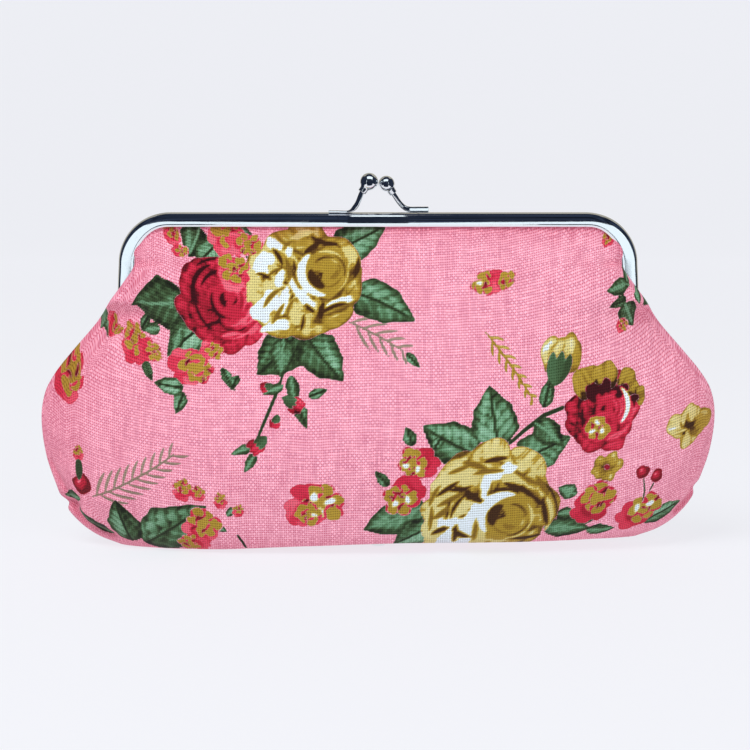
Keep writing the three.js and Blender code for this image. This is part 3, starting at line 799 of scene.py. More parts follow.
def paint_lower_bouquet(sheet):
    """The largest rose low on the other side, with a branch of flowers above and beside it."""
    paint_stem(sheet, [(37, 33), (41.6, 37), (47.6, 41.5), (53, 43.6), (62, 44)], 1.3)
    paint_stem(sheet, [(66.5, 23), (66, 18)], 0.6)
    paint_leaves(sheet, [
        (29.2, 30, 151, 19, 13, 0.24, 0.56, 0.1), (34.4, 32, 98, 18.5, 13.5, 0.55, 0.48, 0.0),
        (38.5, 27, 22, 18.5, 12, 0.30, 0.56, 0.1), (45, 39.5, -42, 11, 7.5, 0.26, 0.22, 0.1),
        (14, 15.5, 203, 20, 12, 0.24, 0.30, 0.1), (16, 9.5, 214, 14, 10, 0.54, 0.28, 0.0),
        (48, 8, -14, 15, 8, 0.28, 0.22, 0.1), (61, 6, -8, 9, 4.5, 0.26, 0.34, 0.0),
        (60, 9, 40, 6, 3.6, 0.3, 0.24, 0.0), (78, 7, 14, 14, 7, 0.52, 0.26, 0.1),
        (57.5, 18, 150, 6.5, 5, 0.22, 0.3, 0.0), (57, 12, 170, 6, 4.6, 0.24, 0.3, 0.0),
        (47.6, 43.5, 76, 9, 4.4, 0.34, 0.5, 0.0), (10, 33, 110, 6, 4, 0.5, 0.3, 0.0),
        (16, 32, 60, 5, 3, 0.55, 0.4, 0.0), (3, 21, 130, 6, 3.4, 0.5, 0.34, 0.0)])
    paint_fern(sheet, 31, 65, -52, 24, 4.6, -8, "gold", 0.54)
    paint_bud(sheet, 51.5, 53, 74, 15, "gold", 0.14)
    paint_rose(sheet, "gold", 31.9, 14.6, 19.4, 8, (0.34, -34), pale=0.62, marks=[
        (0.18, 0.56, 20, 0.20, 0.09, GLINT), (-0.04, 0.38, 75, 0.24, 0.08, GLINT),
        (0.04, 0.04, 20, 0.28, 0.14, GLINT), (-0.24, -0.16, 60, 0.30, 0.13, GLINT),
        (-0.62, -0.24, 0, 0.22, 0.08, GLINT), (-0.62, -0.58, 60, 0.28, 0.15, GLINT),
        (-0.34, -0.62, 80, 0.20, 0.09, GLINT), (-0.84, -0.50, 80, 0.20, 0.10, LIGHT),
        (-0.46, 0.40, 20, 0.28, 0.14, LIGHT), (-0.70, 0.10, 60, 0.24, 0.12, LIGHT),
        (-0.62, 0.46, 40, 0.26, 0.13, 0.80), (-0.86, -0.20, 80, 0.30, 0.12, 0.80),
        (-0.46, 0.00, 30, 0.22, 0.10, 0.80), (-0.30, 0.58, 10, 0.26, 0.12, 0.76),
        (0.38, 0.40, -20, 0.20, 0.10, LIGHT), (-0.10, -0.50, 90, 0.26, 0.08, LIGHT),
        (-0.26, 0.22, -35, 0.24, 0.06, LINE), (-0.34, 0.30, -25, 0.22, 0.035, LINE),
        (-0.44, 0.34, 5, 0.20, 0.03, LINE), (-0.56, 0.16, 30, 0.24, 0.04, DARK),
        (-0.62, -0.02, 80, 0.16, 0.03, LINE), (-0.50, -0.44, 85, 0.18, 0.04, LINE),
        (-0.46, 0.04, 60, 0.22, 0.03, LINE), (-0.40, -0.42, -35, 0.16, 0.05, LINE),
        (-0.72, -0.38, 25, 0.14, 0.04, LINE), (0.00, 0.56, 5, 0.22, 0.04, DARK),
        (0.26, 0.24, -10, 0.20, 0.035, LINE), (0.44, 0.28, -25, 0.24, 0.05, LINE),
        (0.36, 0.08, 0, 0.24, 0.035, LINE), (0.66, 0.16, -45, 0.24, 0.05, LINE),
        (0.86, -0.16, -80, 0.24, 0.05, LINE), (0.56, -0.58, 5, 0.26, 0.04, LINE),
        (-0.16, -0.34, 80, 0.26, 0.04, DARK), (0.60, 0.40, -30, 0.16, 0.04, DARK),
        (-0.62, 0.32, 35, 0.20, 0.035, LINE), (-0.80, 0.22, 65, 0.18, 0.03, DARK),
        (-0.44, 0.62, 20, 0.18, 0.03, DARK), (-0.86, -0.16, 85, 0.20, 0.03, DARK),
        (-0.70, -0.06, 40, 0.16, 0.045, DARK), (-0.20, 0.66, -20, 0.20, 0.05, DARK),
        (0.10, 0.74, 10, 0.18, 0.04, LINE), (0.80, 0.30, -60, 0.18, 0.05, DARK)],
        crescents=[(0.56, 20, 1.3, 0.05, DARK), (0.66, 0, 1.0, 0.09, LIGHT), (0.76, 20, 1.1, 0.05, LINE)])
    paint_rose(sheet, "red", 65, 42, 11.4, 14, (0.1, 10), marks=[
        (-0.40, -0.50, -60, 0.22, 0.05, 0.66), (0.30, -0.66, 20, 0.22, 0.05, 0.66)],
        crescents=[(0.55, 80, 1.6, 0.12, LINE), (0.74, 30, 1.2, 0.12, LINE), (0.80, 130, 1.3, 0.12, LINE),
                   (0.66, 190, 1.0, 0.09, LINE), (0.92, 60, 0.8, 0.12, DARK), (0.76, -60, 1.1, 0.06, 0.66)])
    for x, z, angle, size, tone in ((60, 50.8, 120, 4.8, 0.50), (65.8, 52.6, 85, 4.2, 0.48),
                                    (72.6, 50.4, 40, 3.8, 0.46), (76, 46.5, 10, 2.4, 0.46)):
        rng = np.random.default_rng(int(x))
        at = sheet.place(x, z)
        paint_petal(sheet, "gold", at, math.radians(angle), 0.8 * size, size, (tone, LINE, tone + 0.05), rng)
        base = towards(at, math.radians(angle), -0.75 * size)
        paint_patch(sheet, "red", base, math.radians(angle), 0.55 * size, 0.42 * size, 0.12, rng, 0.15)
    paint_cluster(sheet, 64.5, 38, 5.0, 17, 200, glints=3, red=0.5)
    paint_stroke(sheet, "gold", arc(sheet.place(66, 43), 6.6, 0.0, 1.7), 1.5, GLINT)
    for x, z, radius, lean, glints in ((11.4, 27.9, 5.8, 190, 2), (7.6, 18.5, 6.2, 225, 2),
                                       (62.6, 15, 7.0, 60, 0), (76.5, 11.5, 7.2, 30, 2)):
        paint_cluster(sheet, x, z, radius, int(x + z), lean, glints, red=0.5, gold=7)
    paint_blossom(sheet, "gold", 66.3, 26, 5.0, 61, "red", 0.9)
    paint_stem(sheet, [(77.4, 23), (78, 18), (77.5, 15)], 0.6)
    paint_stem(sheet, [(81.6, 22), (79.5, 18)], 0.6)
    paint_berry(sheet, 77.2, 24, 2.2)
    paint_berry(sheet, 81.6, 22.6, 2.1)


def paint_scattered(sheet):
    """The small flowers, buds and sprays between the two bouquets."""
    paint_fern(sheet, -84, 16, 34, 33, 9.5, 6)
    paint_leaves(sheet, [
        (-69, 0, 43, 27, 16, 0.46, 0.22, 0.1), (-73, 0, 104, 16.5, 11, 0.42, 0.24, 0.0),
        (-80, 3, 150, 13, 5.5, 0.26, 0.2, 0.0), (-88, 15, 205, 8, 3.6, 0.4, 0.26, 0.0),
        (-49, 10, -30, 6, 3.4, 0.24, 0.4, 0.0), (-44, 12, 40, 5, 2.6, 0.36, 0.24, 0.0),
        (-78, 65, 200, 5, 2.4, 0.34, 0.3, 0.0), (-69, 65, 60, 6, 3, 0.32, 0.42, 0.0),
        (-68, 57, -60, 6, 3.2, 0.3, 0.5, 0.0), (-80, 72, 250, 6, 2.4, 0.36, 0.3, 0.0),
        (73, 79.4, 178, 7.4, 4, 0.3, 0.22, 0.0), (72.5, 80, 104, 4, 2, 0.26, 0.3, 0.0),
        (74.4, 78, -66, 4.4, 1.9, 0.3, 0.26, 0.0), (76.6, 76, -58, 4.6, 1.9, 0.3, 0.3, 0.0),
        (72, 74.6, 196, 5, 3.2, 0.52, 0.42, 0.0), (71.5, 73, -62, 8.4, 5.4, 0.3, 0.36, 0.0)])
    for x, z, radius, lean, glints in (
            (-18.6, 15.6, 8.2, 10, 3), (-21.5, 12.5, 5.0, 0, 1), (32, 79.3, 4.6, 180, 1),
            (36.2, 79.6, 3.4, 0, 0), (-91, 51.6, 6.6, 60, 0), (-71, 61, 4.8, 90, 0), (-77, 65, 2.8, 0, 0),
            (-66, 59.5, 3.6, 0, 0), (-51.5, 8, 6.4, 70, 0), (-54, 2, 4.6, 180, 0),
            (-56.5, 19.5, 3.4, 90, 0), (-52, 18.5, 2.4, 90, 0), (-45.5, 16.5, 2.4, 90, 0),
            (-40.5, 13.5, 2.0, 90, 0), (67, 91.5, 2.2, 90, 0), (71, 66.4, 1.9, 0, 0)):
        paint_cluster(sheet, x, z, radius, int(160 + x + z), lean, glints, red=0.62)
    rng = np.random.default_rng(57)
    for x, z, angle, size, tone in ((91.5, 33.8, 270, 3.6, 0.70), (95.2, 38, 20, 4.0, 0.52),
                                    (88.4, 37.4, 170, 4.2, 0.74), (91.6, 39.8, 80, 3.4, 0.72)):
        paint_petal(sheet, "gold", sheet.place(x, z), math.radians(angle), size, 0.95 * size,
                    (tone, DARK, tone + 0.06), rng)
    paint_patch(sheet, "gold", sheet.place(91.8, 37), 0, 1.4, 1.0, LINE, rng)
    paint_berry(sheet, -87.3, 19.6, 3.3)
    paint_stem(sheet, [(-87.8, 22), (-88, 27)], 2.6, 0.26)
    paint_cluster(sheet, -88, 29, 2.2, 66, 90, 0)
    paint_stem(sheet, [(-41, 6), (-39.4, 3.4), (-38.6, 0.6)], 0.8, 0.1)


def frame_inset(x, z):
    """How far inside the frame's outline each place is, as seen from the front."""
    along, above = np.abs(x) - (FRAME_HALF_WIDTH - CORNER_RADIUS), z - ARM_TOP_Z
    corner = CORNER_RADIUS - np.hypot(along, above)
    straight = np.where(above > 0, FRAME_TOP - z, FRAME_HALF_WIDTH - np.abs(x))
    return np.where((along > 0) & (above > 0), corner, straight)


def painted_shade_amount(points):
    """Painted shade from 0 to 1, and more right under the lip: how far each point lies in a fold, by the
    frame, at the sides, underneath or towards the left.
    """
    x, y, z = points[:, :, 0], points[:, :, 1], points[:, :, 2]
    reach = len(points) // 30
    fold = np.clip((y - blurred(y, reach)) / 0.55 - 0.1, 0, 1) * smoothstep(0.0, 8.0, z)
    side = smoothstep(0.80, 1.0, np.abs(x) / np.abs(x).max(axis=1, keepdims=True)) * (z < 74)
    under = smoothstep(7.0, 0.5, z)
    left = 0.35 * smoothstep(-30, -95, x)
    by_frame = smoothstep(5.6, 4.3, frame_inset(x, z)) * (z > 82)
    near_frame = 0.4 * smoothstep(11.0, 5.0, frame_inset(x, z)) * (z > 76)
    creased = sum(corner_crease(x, z, fold_line, 0.45 * depth, 0.8 * width)
                  for fold_line, depth, width in CORNER_FOLDS)
    shade = 0.9 * fold + 0.55 * side + 0.8 * under + left + near_frame + creased
    return np.clip(shade, 0, 1) + by_frame + 0.4 * creased


def store_print(obj, sheet, shade, rows, columns, inner_step):
    """Writes each ink, the tone and the painted shade as attributes on every point of the closed panel."""
    for name, values in [*sheet.fields.items(), ("tone", sheet.tone), ("shade", shade)]:
        grid = values.reshape(rows, columns)
        both = np.concatenate([grid.ravel(), grid[::inner_step, ::inner_step].ravel()])
        layer = obj.data.attributes.new(name, "FLOAT", "POINT")
        layer.data.foreach_set("value", both.astype(np.float32))


# ---- Materials -------------------------------------------------------------------------------

def linear(red, green, blue):
    """An sRGB colour of 0 to 255 as the linear values that a shader takes."""
    def one(c):
        c = c / 255
        return c / 12.92 if c <= 0.04045 else ((c + 0.055) / 1.055) ** 2.4
    return (one(red), one(green), one(blue), 1.0)


class Graph:
    """Builds a material's nodes from short calls that return output sockets."""

    def __init__(self, name):
        self.material = bpy.data.materials.new(name)
        self.material.use_nodes = True
        self.tree = self.material.node_tree
        self.tree.nodes.clear()
        self.shader = self.node("ShaderNodeBsdfPrincipled")
        output = self.node("ShaderNodeOutputMaterial")
        self.join(self.shader.outputs["BSDF"], output.inputs["Surface"])

    def node(self, kind, **settings):
        node = self.tree.nodes.new(kind)
        for key, value in settings.items():
            setattr(node, key, value)
        return node

    def join(self, value, socket):
        if isinstance(value, bpy.types.NodeSocket):
            self.tree.links.new(value, socket)
        else:
            socket.default_value = value

    def math(self, operation, a, b=0.0, c=0.0):
        node = self.node("ShaderNodeMath", operation=operation)
        for socket, value in zip(node.inputs, (a, b, c)):
            self.join(value, socket)
        return node.outputs[0]

    def mix(self, factor, a, b, blend="MIX"):
        node = self.node("ShaderNodeMix", data_type="RGBA", blend_type=blend)
        self.join(factor, node.inputs[0])
        self.join(a, node.inputs[6])
        self.join(b, node.inputs[7])
        return node.outputs[2]

    def ramp(self, factor, stops):
        node = self.node("ShaderNodeValToRGB")
        elements = node.color_ramp.elements
        while len(elements) < len(stops):
            elements.new(0.5)
        for element, (position, colour) in zip(elements, stops):
            element.position = position
            element.color = colour
        self.join(factor, node.inputs[0])
        return node.outputs[0]

    def range(self, value, from_low, from_high, to_low, to_high):
        node = self.node("ShaderNodeMapRange")
        for socket, number in zip(node.inputs, (value, from_low, from_high, to_low, to_high)):
            self.join(number, socket)
        return node.outputs[0]

    def noise(self, vector, scale, detail=2.0, roughness=0.5):
        node = self.node("ShaderNodeTexNoise")
        self.join(vector, node.inputs["Vector"])
        node.inputs["Scale"].default_value = scale
        node.inputs["Detail"].default_value = detail
        node.inputs["Roughness"].default_value = roughness
        return node.outputs["Fac"]

    def scaled(self, vector, x, y, z=1.0):
        node = self.node("ShaderNodeMapping")
        self.join(vector, node.inputs["Vector"])
        node.inputs["Scale"].default_value = (x, y, z)
        return node.outputs["Vector"]

    def bump(self, height, strength, distance):
        node = self.node("ShaderNodeBump")
        node.inputs["Strength"].default_value = strength
        node.inputs["Distance"].default_value = distance
        self.join(height, node.inputs["Height"])
        self.join(node.outputs["Normal"], self.shader.inputs["Normal"])

    def set(self, **values):
        for key, value in values.items():
            self.join(value, self.shader.inputs[key.replace("_", " ")])


def plain_weave(graph, cloth, warp_pitch, weft_pitch, seed=0.0):
    """Fields of a plain weave over cloth coordinates: gap, height and yarn-to-yarn variation."""
    parts = graph.node("ShaderNodeSeparateXYZ")
    wander = graph.noise(graph.scaled(cloth, 0.16, 0.16), 1.0, 2.0)
    drift = graph.math("MULTIPLY_ADD", wander, 0.7, -0.35)
    graph.join(cloth, parts.inputs[0])
    s = graph.math("MULTIPLY_ADD", parts.outputs[0], 1 / warp_pitch, drift)
    t = graph.math("MULTIPLY_ADD", parts.outputs[1], 1 / weft_pitch, drift)
    s, t = graph.math("ADD", s, 1000.0 + seed), graph.math("ADD", t, 1000.0 + seed)
    across_warp = graph.math("ABSOLUTE", graph.math("SINE", graph.math("MULTIPLY", s, math.pi)))
    across_weft = graph.math("ABSOLUTE", graph.math("SINE", graph.math("MULTIPLY", t, math.pi)))
    warp_edge = graph.math("SUBTRACT", 1.0, across_warp)
    weft_edge = graph.math("SUBTRACT", 1.0, across_weft)
    crossing = graph.math("MULTIPLY", weft_edge, graph.math("MULTIPLY_ADD", warp_edge, 0.50, 0.25))
    gap = graph.math("MULTIPLY_ADD", warp_edge, 0.16, crossing)

    # Over and under: the sign of the product of the two half-rate waves picks the upper yarn.
    parity = graph.math("MULTIPLY", graph.math("SINE", graph.math("MULTIPLY", s, math.pi)),
                        graph.math("SINE", graph.math("MULTIPLY", t, math.pi)))
    warp_on_top = graph.range(parity, -0.25, 0.25, 0.0, 1.0)
    height = graph.math("ADD", graph.math("MULTIPLY", warp_on_top, across_warp),
                        graph.math("MULTIPLY", graph.math("SUBTRACT", 1.0, warp_on_top), across_weft))

    # Each yarn has its own thickness and colour, which change slowly along it.
    warp_index, weft_index = graph.math("FLOOR", s), graph.math("FLOOR", t)
    warp_place = graph.node("ShaderNodeCombineXYZ")
    graph.join(graph.math("MULTIPLY", warp_index, 7.31), warp_place.inputs[0])
    graph.join(graph.math("MULTIPLY", t, 0.09), warp_place.inputs[1])
    weft_place = graph.node("ShaderNodeCombineXYZ")
    graph.join(graph.math("MULTIPLY", s, 0.13), weft_place.inputs[0])
    graph.join(graph.math("MULTIPLY", weft_index, 5.77), weft_place.inputs[1])
    warp_yarn = graph.noise(warp_place.outputs[0], 1.0, 1.0)
    weft_yarn = graph.noise(weft_place.outputs[0], 1.0, 1.0)
    yarn = graph.math("ADD", graph.math("MULTIPLY", warp_on_top, warp_yarn),
                      graph.math("MULTIPLY", graph.math("SUBTRACT", 1.0, warp_on_top), weft_yarn))
    yarn = graph.math("MULTIPLY_ADD", parity, 0.12, yarn)
    return gap, height, yarn


# Millimetres from yarn to yarn, of the warp and the weft.
CANVAS_PITCHES = (0.65, 0.78)
LINING_PITCHES = (0.42, 0.46)


def canvas_material():
    """Pink plain-weave canvas printed with four inks, each from its lines to its glints."""
    graph = Graph("printed_canvas")
    cloth = graph.node("ShaderNodeUVMap", uv_map="cloth").outputs[0]
    gap, height, yarn = plain_weave(graph, cloth, *CANVAS_PITCHES)

    # The edge of an ink is broken by the yarns that it soaks into.
    fibre = graph.noise(graph.scaled(cloth, 1.9, 1.9), 1.0, 2.0)
    shift = graph.math("MULTIPLY_ADD", fibre, 0.4, -0.2)
    tone = graph.node("ShaderNodeAttribute", attribute_name="tone").outputs["Fac"]
    tone = graph.math("ADD", tone, graph.math("MULTIPLY_ADD", fibre, 0.12, -0.06))

    pink = graph.mix(graph.range(yarn, 0.3, 0.7, 0.0, 1.0), linear(233, 153, 176), linear(251, 190, 207))
    ramps = {
        "gold": [(0.00, (50, 27, 10)), (0.15, (76, 46, 16)), (0.22, (120, 88, 26)), (0.35, (146, 114, 34)),
                 (0.43, (170, 140, 44)), (0.60, (184, 154, 56)), (0.68, (216, 202, 122)),
                 (0.82, (228, 218, 152)), (0.87, (226, 240, 248)), (1.0, (234, 247, 253))],
        "red": [(0.00, (44, 7, 13)), (0.16, (66, 10, 20)), (0.23, (136, 18, 36)), (0.38, (172, 26, 50)),
                (0.46, (202, 36, 64)), (0.57, (216, 50, 78)), (0.64, (234, 84, 108)), (0.80, (240, 122, 140)),
                (0.92, (250, 226, 232))],
        "leaf": [(0.00, (16, 20, 12)), (0.18, (34, 44, 26)), (0.28, (54, 74, 44)), (0.40, (72, 104, 68)),
                 (0.50, (96, 142, 104)), (0.62, (122, 170, 134)), (0.78, (146, 194, 162)),
                 (1.0, (184, 214, 190))],
        "sage": [(0.0, (112, 98, 82)), (0.5, (154, 136, 118)), (1.0, (180, 162, 142))],
    }
    colour, printed = pink, None
    for ink in INKS:
        laid = graph.node("ShaderNodeAttribute", attribute_name=ink).outputs["Fac"]
        cover = graph.range(graph.math("ADD", laid, shift), 0.38, 0.62, 0.0, 1.0)
        stops = [(position, linear(*rgb)) for position, rgb in ramps[ink]]
        colour = graph.mix(cover, colour, graph.ramp(tone, stops))
        printed = cover if printed is None else graph.math("MAXIMUM", printed, cover)

    # Gaps between yarns: deep pink in the ground, a darker shade of the ink in the print.
    yarn_shade = graph.range(yarn, 0.25, 0.75, 0.89, 1.06)
    colour = graph.mix(1.0, colour, yarn_shade, "MULTIPLY")
    gap_tint = graph.mix(printed, (0.68, 0.12, 0.22, 1.0), (0.40, 0.35, 0.33, 1.0))
    in_gap = graph.range(gap, 0.12, 0.60, 0.0, 1.0)
    colour = graph.mix(in_gap, colour, graph.mix(1.0, colour, gap_tint, "MULTIPLY"))
    # Painted shade: folds, the sides, the bottom, the left and the cloth by the frame are tinted a deeper
    # pink, as if shadowed.
    shade = graph.node("ShaderNodeAttribute", attribute_name="shade").outputs["Fac"]
    painted_shade_colour = graph.mix(1.0, colour, (0.80, 0.52, 0.58, 1.0), "MULTIPLY")
    colour = graph.mix(graph.math("MULTIPLY", shade, 0.62), colour, painted_shade_colour)
    graph.set(Base_Color=colour, Roughness=graph.range(height, 0.0, 1.0, 0.95, 0.82))
    graph.set(Sheen_Weight=0.08, Sheen_Roughness=0.5, Specular_IOR_Level=0.2)
    fuzz = graph.noise(graph.scaled(cloth, 4.0, 4.0), 1.0, 2.0)
    relief = graph.math("ADD", height, graph.math("MULTIPLY", fuzz, 0.35))
    graph.bump(relief, 0.3, 0.0001)
    return graph.material


def lining_material():
    graph = Graph("lining_cloth")
    cloth = graph.node("ShaderNodeUVMap", uv_map="cloth").outputs[0]
    gap, height, yarn = plain_weave(graph, cloth, *LINING_PITCHES, 17.0)
    colour = graph.mix(graph.range(yarn, 0.3, 0.7, 0.0, 1.0), linear(222, 211, 192), linear(240, 232, 217))
    stain = graph.noise(graph.scaled(cloth, 0.05, 0.05), 1.0, 3.0)
    colour = graph.mix(graph.range(stain, 0.5, 0.8, 0.0, 0.25), colour, linear(206, 190, 165))
    colour = graph.mix(graph.range(gap, 0.1, 0.7, 0.0, 0.6), colour, linear(168, 152, 128))
    graph.set(Base_Color=colour, Roughness=0.85)
    graph.set(Sheen_Weight=0.1, Specular_IOR_Level=0.25)
    graph.bump(height, 0.3, 0.0001)
    return graph.material


def chrome_material(name, tint, worn):
    """Bright plate with fine wiping scratches, slight waviness and duller, worn patches."""
    graph = Graph(name)
    place = graph.node("ShaderNodeTexCoord").outputs["Object"]
    waves = graph.noise(graph.scaled(place, 60, 60, 60), 1.0, 2.0)
    scratches = graph.noise(graph.scaled(place, 2200, 500, 500), 1.0, 3.0, 0.7)
    smudge = graph.noise(graph.scaled(place, 130, 130, 130), 1.0, 4.0, 0.6)
    pits = graph.noise(graph.scaled(place, 900, 900, 900), 1.0, 3.0, 0.6)
    colour = graph.mix(graph.range(pits, 0.60, 0.74, 0.0, worn), linear(*tint), linear(120, 116, 108))
    rough = graph.range(smudge, 0.4, 0.75, 0.05, 0.16)
    graph.set(Base_Color=colour, Roughness=rough, Metallic=1.0)
    relief = graph.math("ADD", waves, graph.math("MULTIPLY", scratches, 0.02))
    graph.bump(relief, 0.35, 0.0004)
    return graph.material


def paper_material():
    graph = Graph("kraft_paper_cord")
    place = graph.node("ShaderNodeTexCoord").outputs["Object"]
    fibres = graph.noise(graph.scaled(place, 900, 2600, 900), 1.0, 3.0, 0.6)
    wave = graph.node("ShaderNodeTexWave", wave_type="BANDS", bands_direction="DIAGONAL")
    wave.inputs["Scale"].default_value = 260.0
    wave.inputs["Distortion"].default_value = 1.5
    graph.join(place, wave.inputs["Vector"])
    colour = graph.mix(fibres, linear(150, 118, 78), linear(200, 170, 124))
    colour = graph.mix(graph.range(wave.outputs["Fac"], 0.0, 0.3, 0.7, 0.0), colour, linear(104, 80, 50))
    graph.set(Base_Color=colour, Roughness=0.92)
    graph.bump(wave.outputs["Fac"], 0.5, 0.0002)
    return graph.material


# ---- The cloth pieces ------------------------------------------------------------------------

CANVAS_ROWS, CANVAS_COLUMNS = 245, 417
INNER_STEP = 4
LINING_ROWS, LINING_COLUMNS = 81, 121
LINING_INNER_STEP = 2
# The back is cut from another part of the same printed cloth: where the layout starts on each half.
PRINT_SHIFTS = {"front": [(0, 0)], "back": [(-88, 22), (84, -30)]}


def hang_between(obj):
    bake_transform(obj)


def build_canvas(half, material):
    outer = panel_points(CANVAS_ROWS, CANVAS_COLUMNS, SETTLED[half])
    s, t = cloth_coordinates(outer)
    sheet = Print(outer, s, t, 1 if half == "front" else -1)
    for paint in (paint_scattered, paint_upper_bouquet, paint_lower_bouquet):
        for shift in PRINT_SHIFTS[half]:
            sheet.shift = shift
            paint(sheet)
    obj = closed_panel(f"{half}_canvas_panel", outer, CANVAS_THICKNESS, INNER_STEP)
    store_cloth_map(obj, s, t, INNER_STEP)
    store_print(obj, sheet, painted_shade_amount(outer), CANVAS_ROWS, CANVAS_COLUMNS, INNER_STEP)
    finish_cloth(obj, half, material, (f"{half}_canvas", f"{half}_canvas_yoke"))


def build_lining(half, material):
    outer = panel_points(LINING_ROWS, LINING_COLUMNS, SETTLED[half], LINING_OFFSET)
    s, t = cloth_coordinates(outer)
    obj = closed_panel(f"{half}_lining_panel", outer, LINING_THICKNESS, LINING_INNER_STEP)
    store_cloth_map(obj, s, t, LINING_INNER_STEP)
    finish_cloth(obj, half, material, (f"{half}_lining", f"{half}_lining_yoke"))


def finish_cloth(obj, half, material, nodes):
    if half == "back":
        flip_to_back(obj)
    obj.data.materials.append(material)
    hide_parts(*nodes)
    hang_between(obj)


def flip_to_back(obj):
    """Mirrors a piece across the middle plane and keeps its faces outwards."""
    mesh = obj.data
    co = np.zeros(len(mesh.vertices) * 3)
    mesh.vertices.foreach_get("co", co)
    co = co.reshape(-1, 3)
    co[:, 1] *= -1
    mesh.vertices.foreach_set("co", co.ravel())
    mesh.flip_normals()
    mesh.update()


# ---- The chrome frame ------------------------------------------------------------------------
# One half's section, as (inset from the outline, distance in front of the middle plane).

CHANNEL_SECTION = [
    (4.62, 3.55), (4.66, 3.74), (4.58, 3.93), (4.38, 4.06), (4.05, 4.14), (3.6, 4.17), (3.0, 4.15),
    (2.4, 4.06), (1.85, 3.9), (1.35, 3.68), (0.9, 3.38), (0.5, 3.0), (0.22, 2.55), (0.06, 2.05),
    (0.0, 1.5), (0.0, 0.9), (0.05, 0.5), (0.2, 0.25), (0.5, 0.15), (1.2, 0.15), (2.6, 0.15),
    (4.1, 0.15), (4.42, 0.2), (4.55, 0.4), (4.42, 0.62), (4.1, 0.7), (2.6, 0.72), (1.2, 0.74),
    (0.85, 0.85), (0.68, 1.2), (0.7, 1.9), (0.85, 2.45), (1.15, 2.85), (1.6, 3.15), (2.2, 3.38),
    (3.0, 3.5), (3.9, 3.5), (4.4, 3.44),
]
TOP_LIP_SHARE, ARM_LIP_SHARE = 0.90, 1.07
ARM_STEPS, CORNER_STEPS, TOP_STEPS = 10, 28, 48


def arch_stations():
    """Places and inward directions along the frame's outline, from the left foot to the right."""
    half, top, radius = FRAME_HALF_WIDTH, FRAME_TOP, CORNER_RADIUS
    lean = math.atan2(ARM_FLARE, ARM_TOP_Z - ARM_FOOT_Z)
    stations = []
    for k in range(ARM_STEPS + 1):
        share = k / ARM_STEPS
        z = ARM_FOOT_Z + (ARM_TOP_Z - ARM_FOOT_Z) * share
        eased = lean * (1 - smoothstep(0.6, 1.0, share))
        stations.append((-half - ARM_FLARE * (1 - share), z, math.cos(eased), math.sin(eased)))
    for k in range(1, CORNER_STEPS):
        angle = math.pi - (math.pi / 2) * k / CORNER_STEPS
        stations.append((-half + radius + radius * math.cos(angle),
                         top - radius + radius * math.sin(angle), -math.cos(angle), -math.sin(angle)))
    left = list(stations)
    for k in range(TOP_STEPS + 1):
        stations.append(((-1 + 2 * k / TOP_STEPS) * (half - radius), top, 0.0, -1.0))
    return stations + [(-x, z, -nx, nz) for x, z, nx, nz in reversed(left)]


def finish_metal(obj, material, body, *nodes):
    """Plates a piece and ties it to the body that carries it and the node that it stands for."""
    face_outwards(obj)
    obj.data.materials.append(material)
    if nodes:
        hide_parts(*nodes)
    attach(obj, body)


def build_channel(half, material):
    side = -1 if half == "front" else 1
    rings = []
    for x, z, inward_x, inward_z in arch_stations():
        # The lip is a little broader down the arms than along the top.
        broad = TOP_LIP_SHARE + (ARM_LIP_SHARE - TOP_LIP_SHARE) * smoothstep(0.2, 0.9, abs(inward_x))
        rings.append(np.array([(x + broad * inset * inward_x, side * depth, z + broad * inset * inward_z)
                               for inset, depth in CHANNEL_SECTION]))
    points, faces = ring_sweep(rings)
    obj = make_object(f"{half}_frame_channel", points, faces)
    finish_metal(obj, material, f"{half}_half", f"{half}_frame")


EAR_INNER_X = {"front": 73.9, "back": 75.05}
EAR_THICKNESS = 0.8
EAR_TOP_Z = 77.0
EAR_EDGE_ROUNDING = 0.12


def build_ear(half, side, material):
    """A rounded ear that carries one rivet, cranked in or out from the arm's spine."""
    depth_side = -1 if half == "front" else 1
    outline = []
    for k in range(25):
        angle = math.pi * (-0.02 + 1.04 * k / 24) + math.pi
        outline.append((EAR_RADIUS * math.cos(angle), HINGE_Z + EAR_RADIUS * math.sin(angle)))
    outline += [(3.1, HINGE_Z + 1.0), (1.2, HINGE_Z + 2.9), (-0.2, HINGE_Z + 4.4), (-0.5, EAR_TOP_Z),
                (-3.7, EAR_TOP_Z), (-3.6, HINGE_Z + 3.0)]
    outline = [(depth_side * -y, z) for y, z in outline]
    rings = []
    for x, shrink in ((0.0, EAR_EDGE_ROUNDING), (0.1, 0.02), (0.4, 0.0),
                      (EAR_THICKNESS - 0.1, 0.02), (EAR_THICKNESS, EAR_EDGE_ROUNDING)):
        ring = []
        for y, z in outline:
            reach = math.hypot(y, z - HINGE_Z)
            keep = (reach - shrink) / reach
            ring.append((side * (EAR_INNER_X[half] + x), y * keep, HINGE_Z + (z - HINGE_Z) * keep))
        rings.append(np.array(ring))
    points, faces = ring_sweep(rings)
    obj = make_object(f"{half}_{'left' if side < 0 else 'right'}_ear", points, faces)
    finish_metal(obj, material, f"{half}_half")


def lathe(profile, segments=40):
    """Rings round the X axis from (x, radius) pairs."""
    return [np.array([(x, r * math.cos(2 * math.pi * k / segments), r * math.sin(2 * math.pi * k / segments))
                      for k in range(segments)]) for x, r in profile]


def build_rivet(side, material):
    profile = [(72.75, 0.15), (72.8, 0.9), (72.92, 1.55), (73.15, 1.95), (73.4, 2.1), (73.58, 2.05),
               (73.6, 1.0), (76.14, 1.0), (76.16, 2.05), (76.3, 2.1), (76.52, 1.98), (76.75, 1.5),
               (76.88, 0.8), (76.9, 0.15)]
    points, faces = ring_sweep(lathe(profile))
    points = points + np.array([0, 0, HINGE_Z])
    points[:, 0] *= side
    name = "left" if side < 0 else "right"
    obj = make_object(f"{name}_rivet", points, faces)
    finish_metal(obj, material, "bag", f"{name}_hinge_rivet")


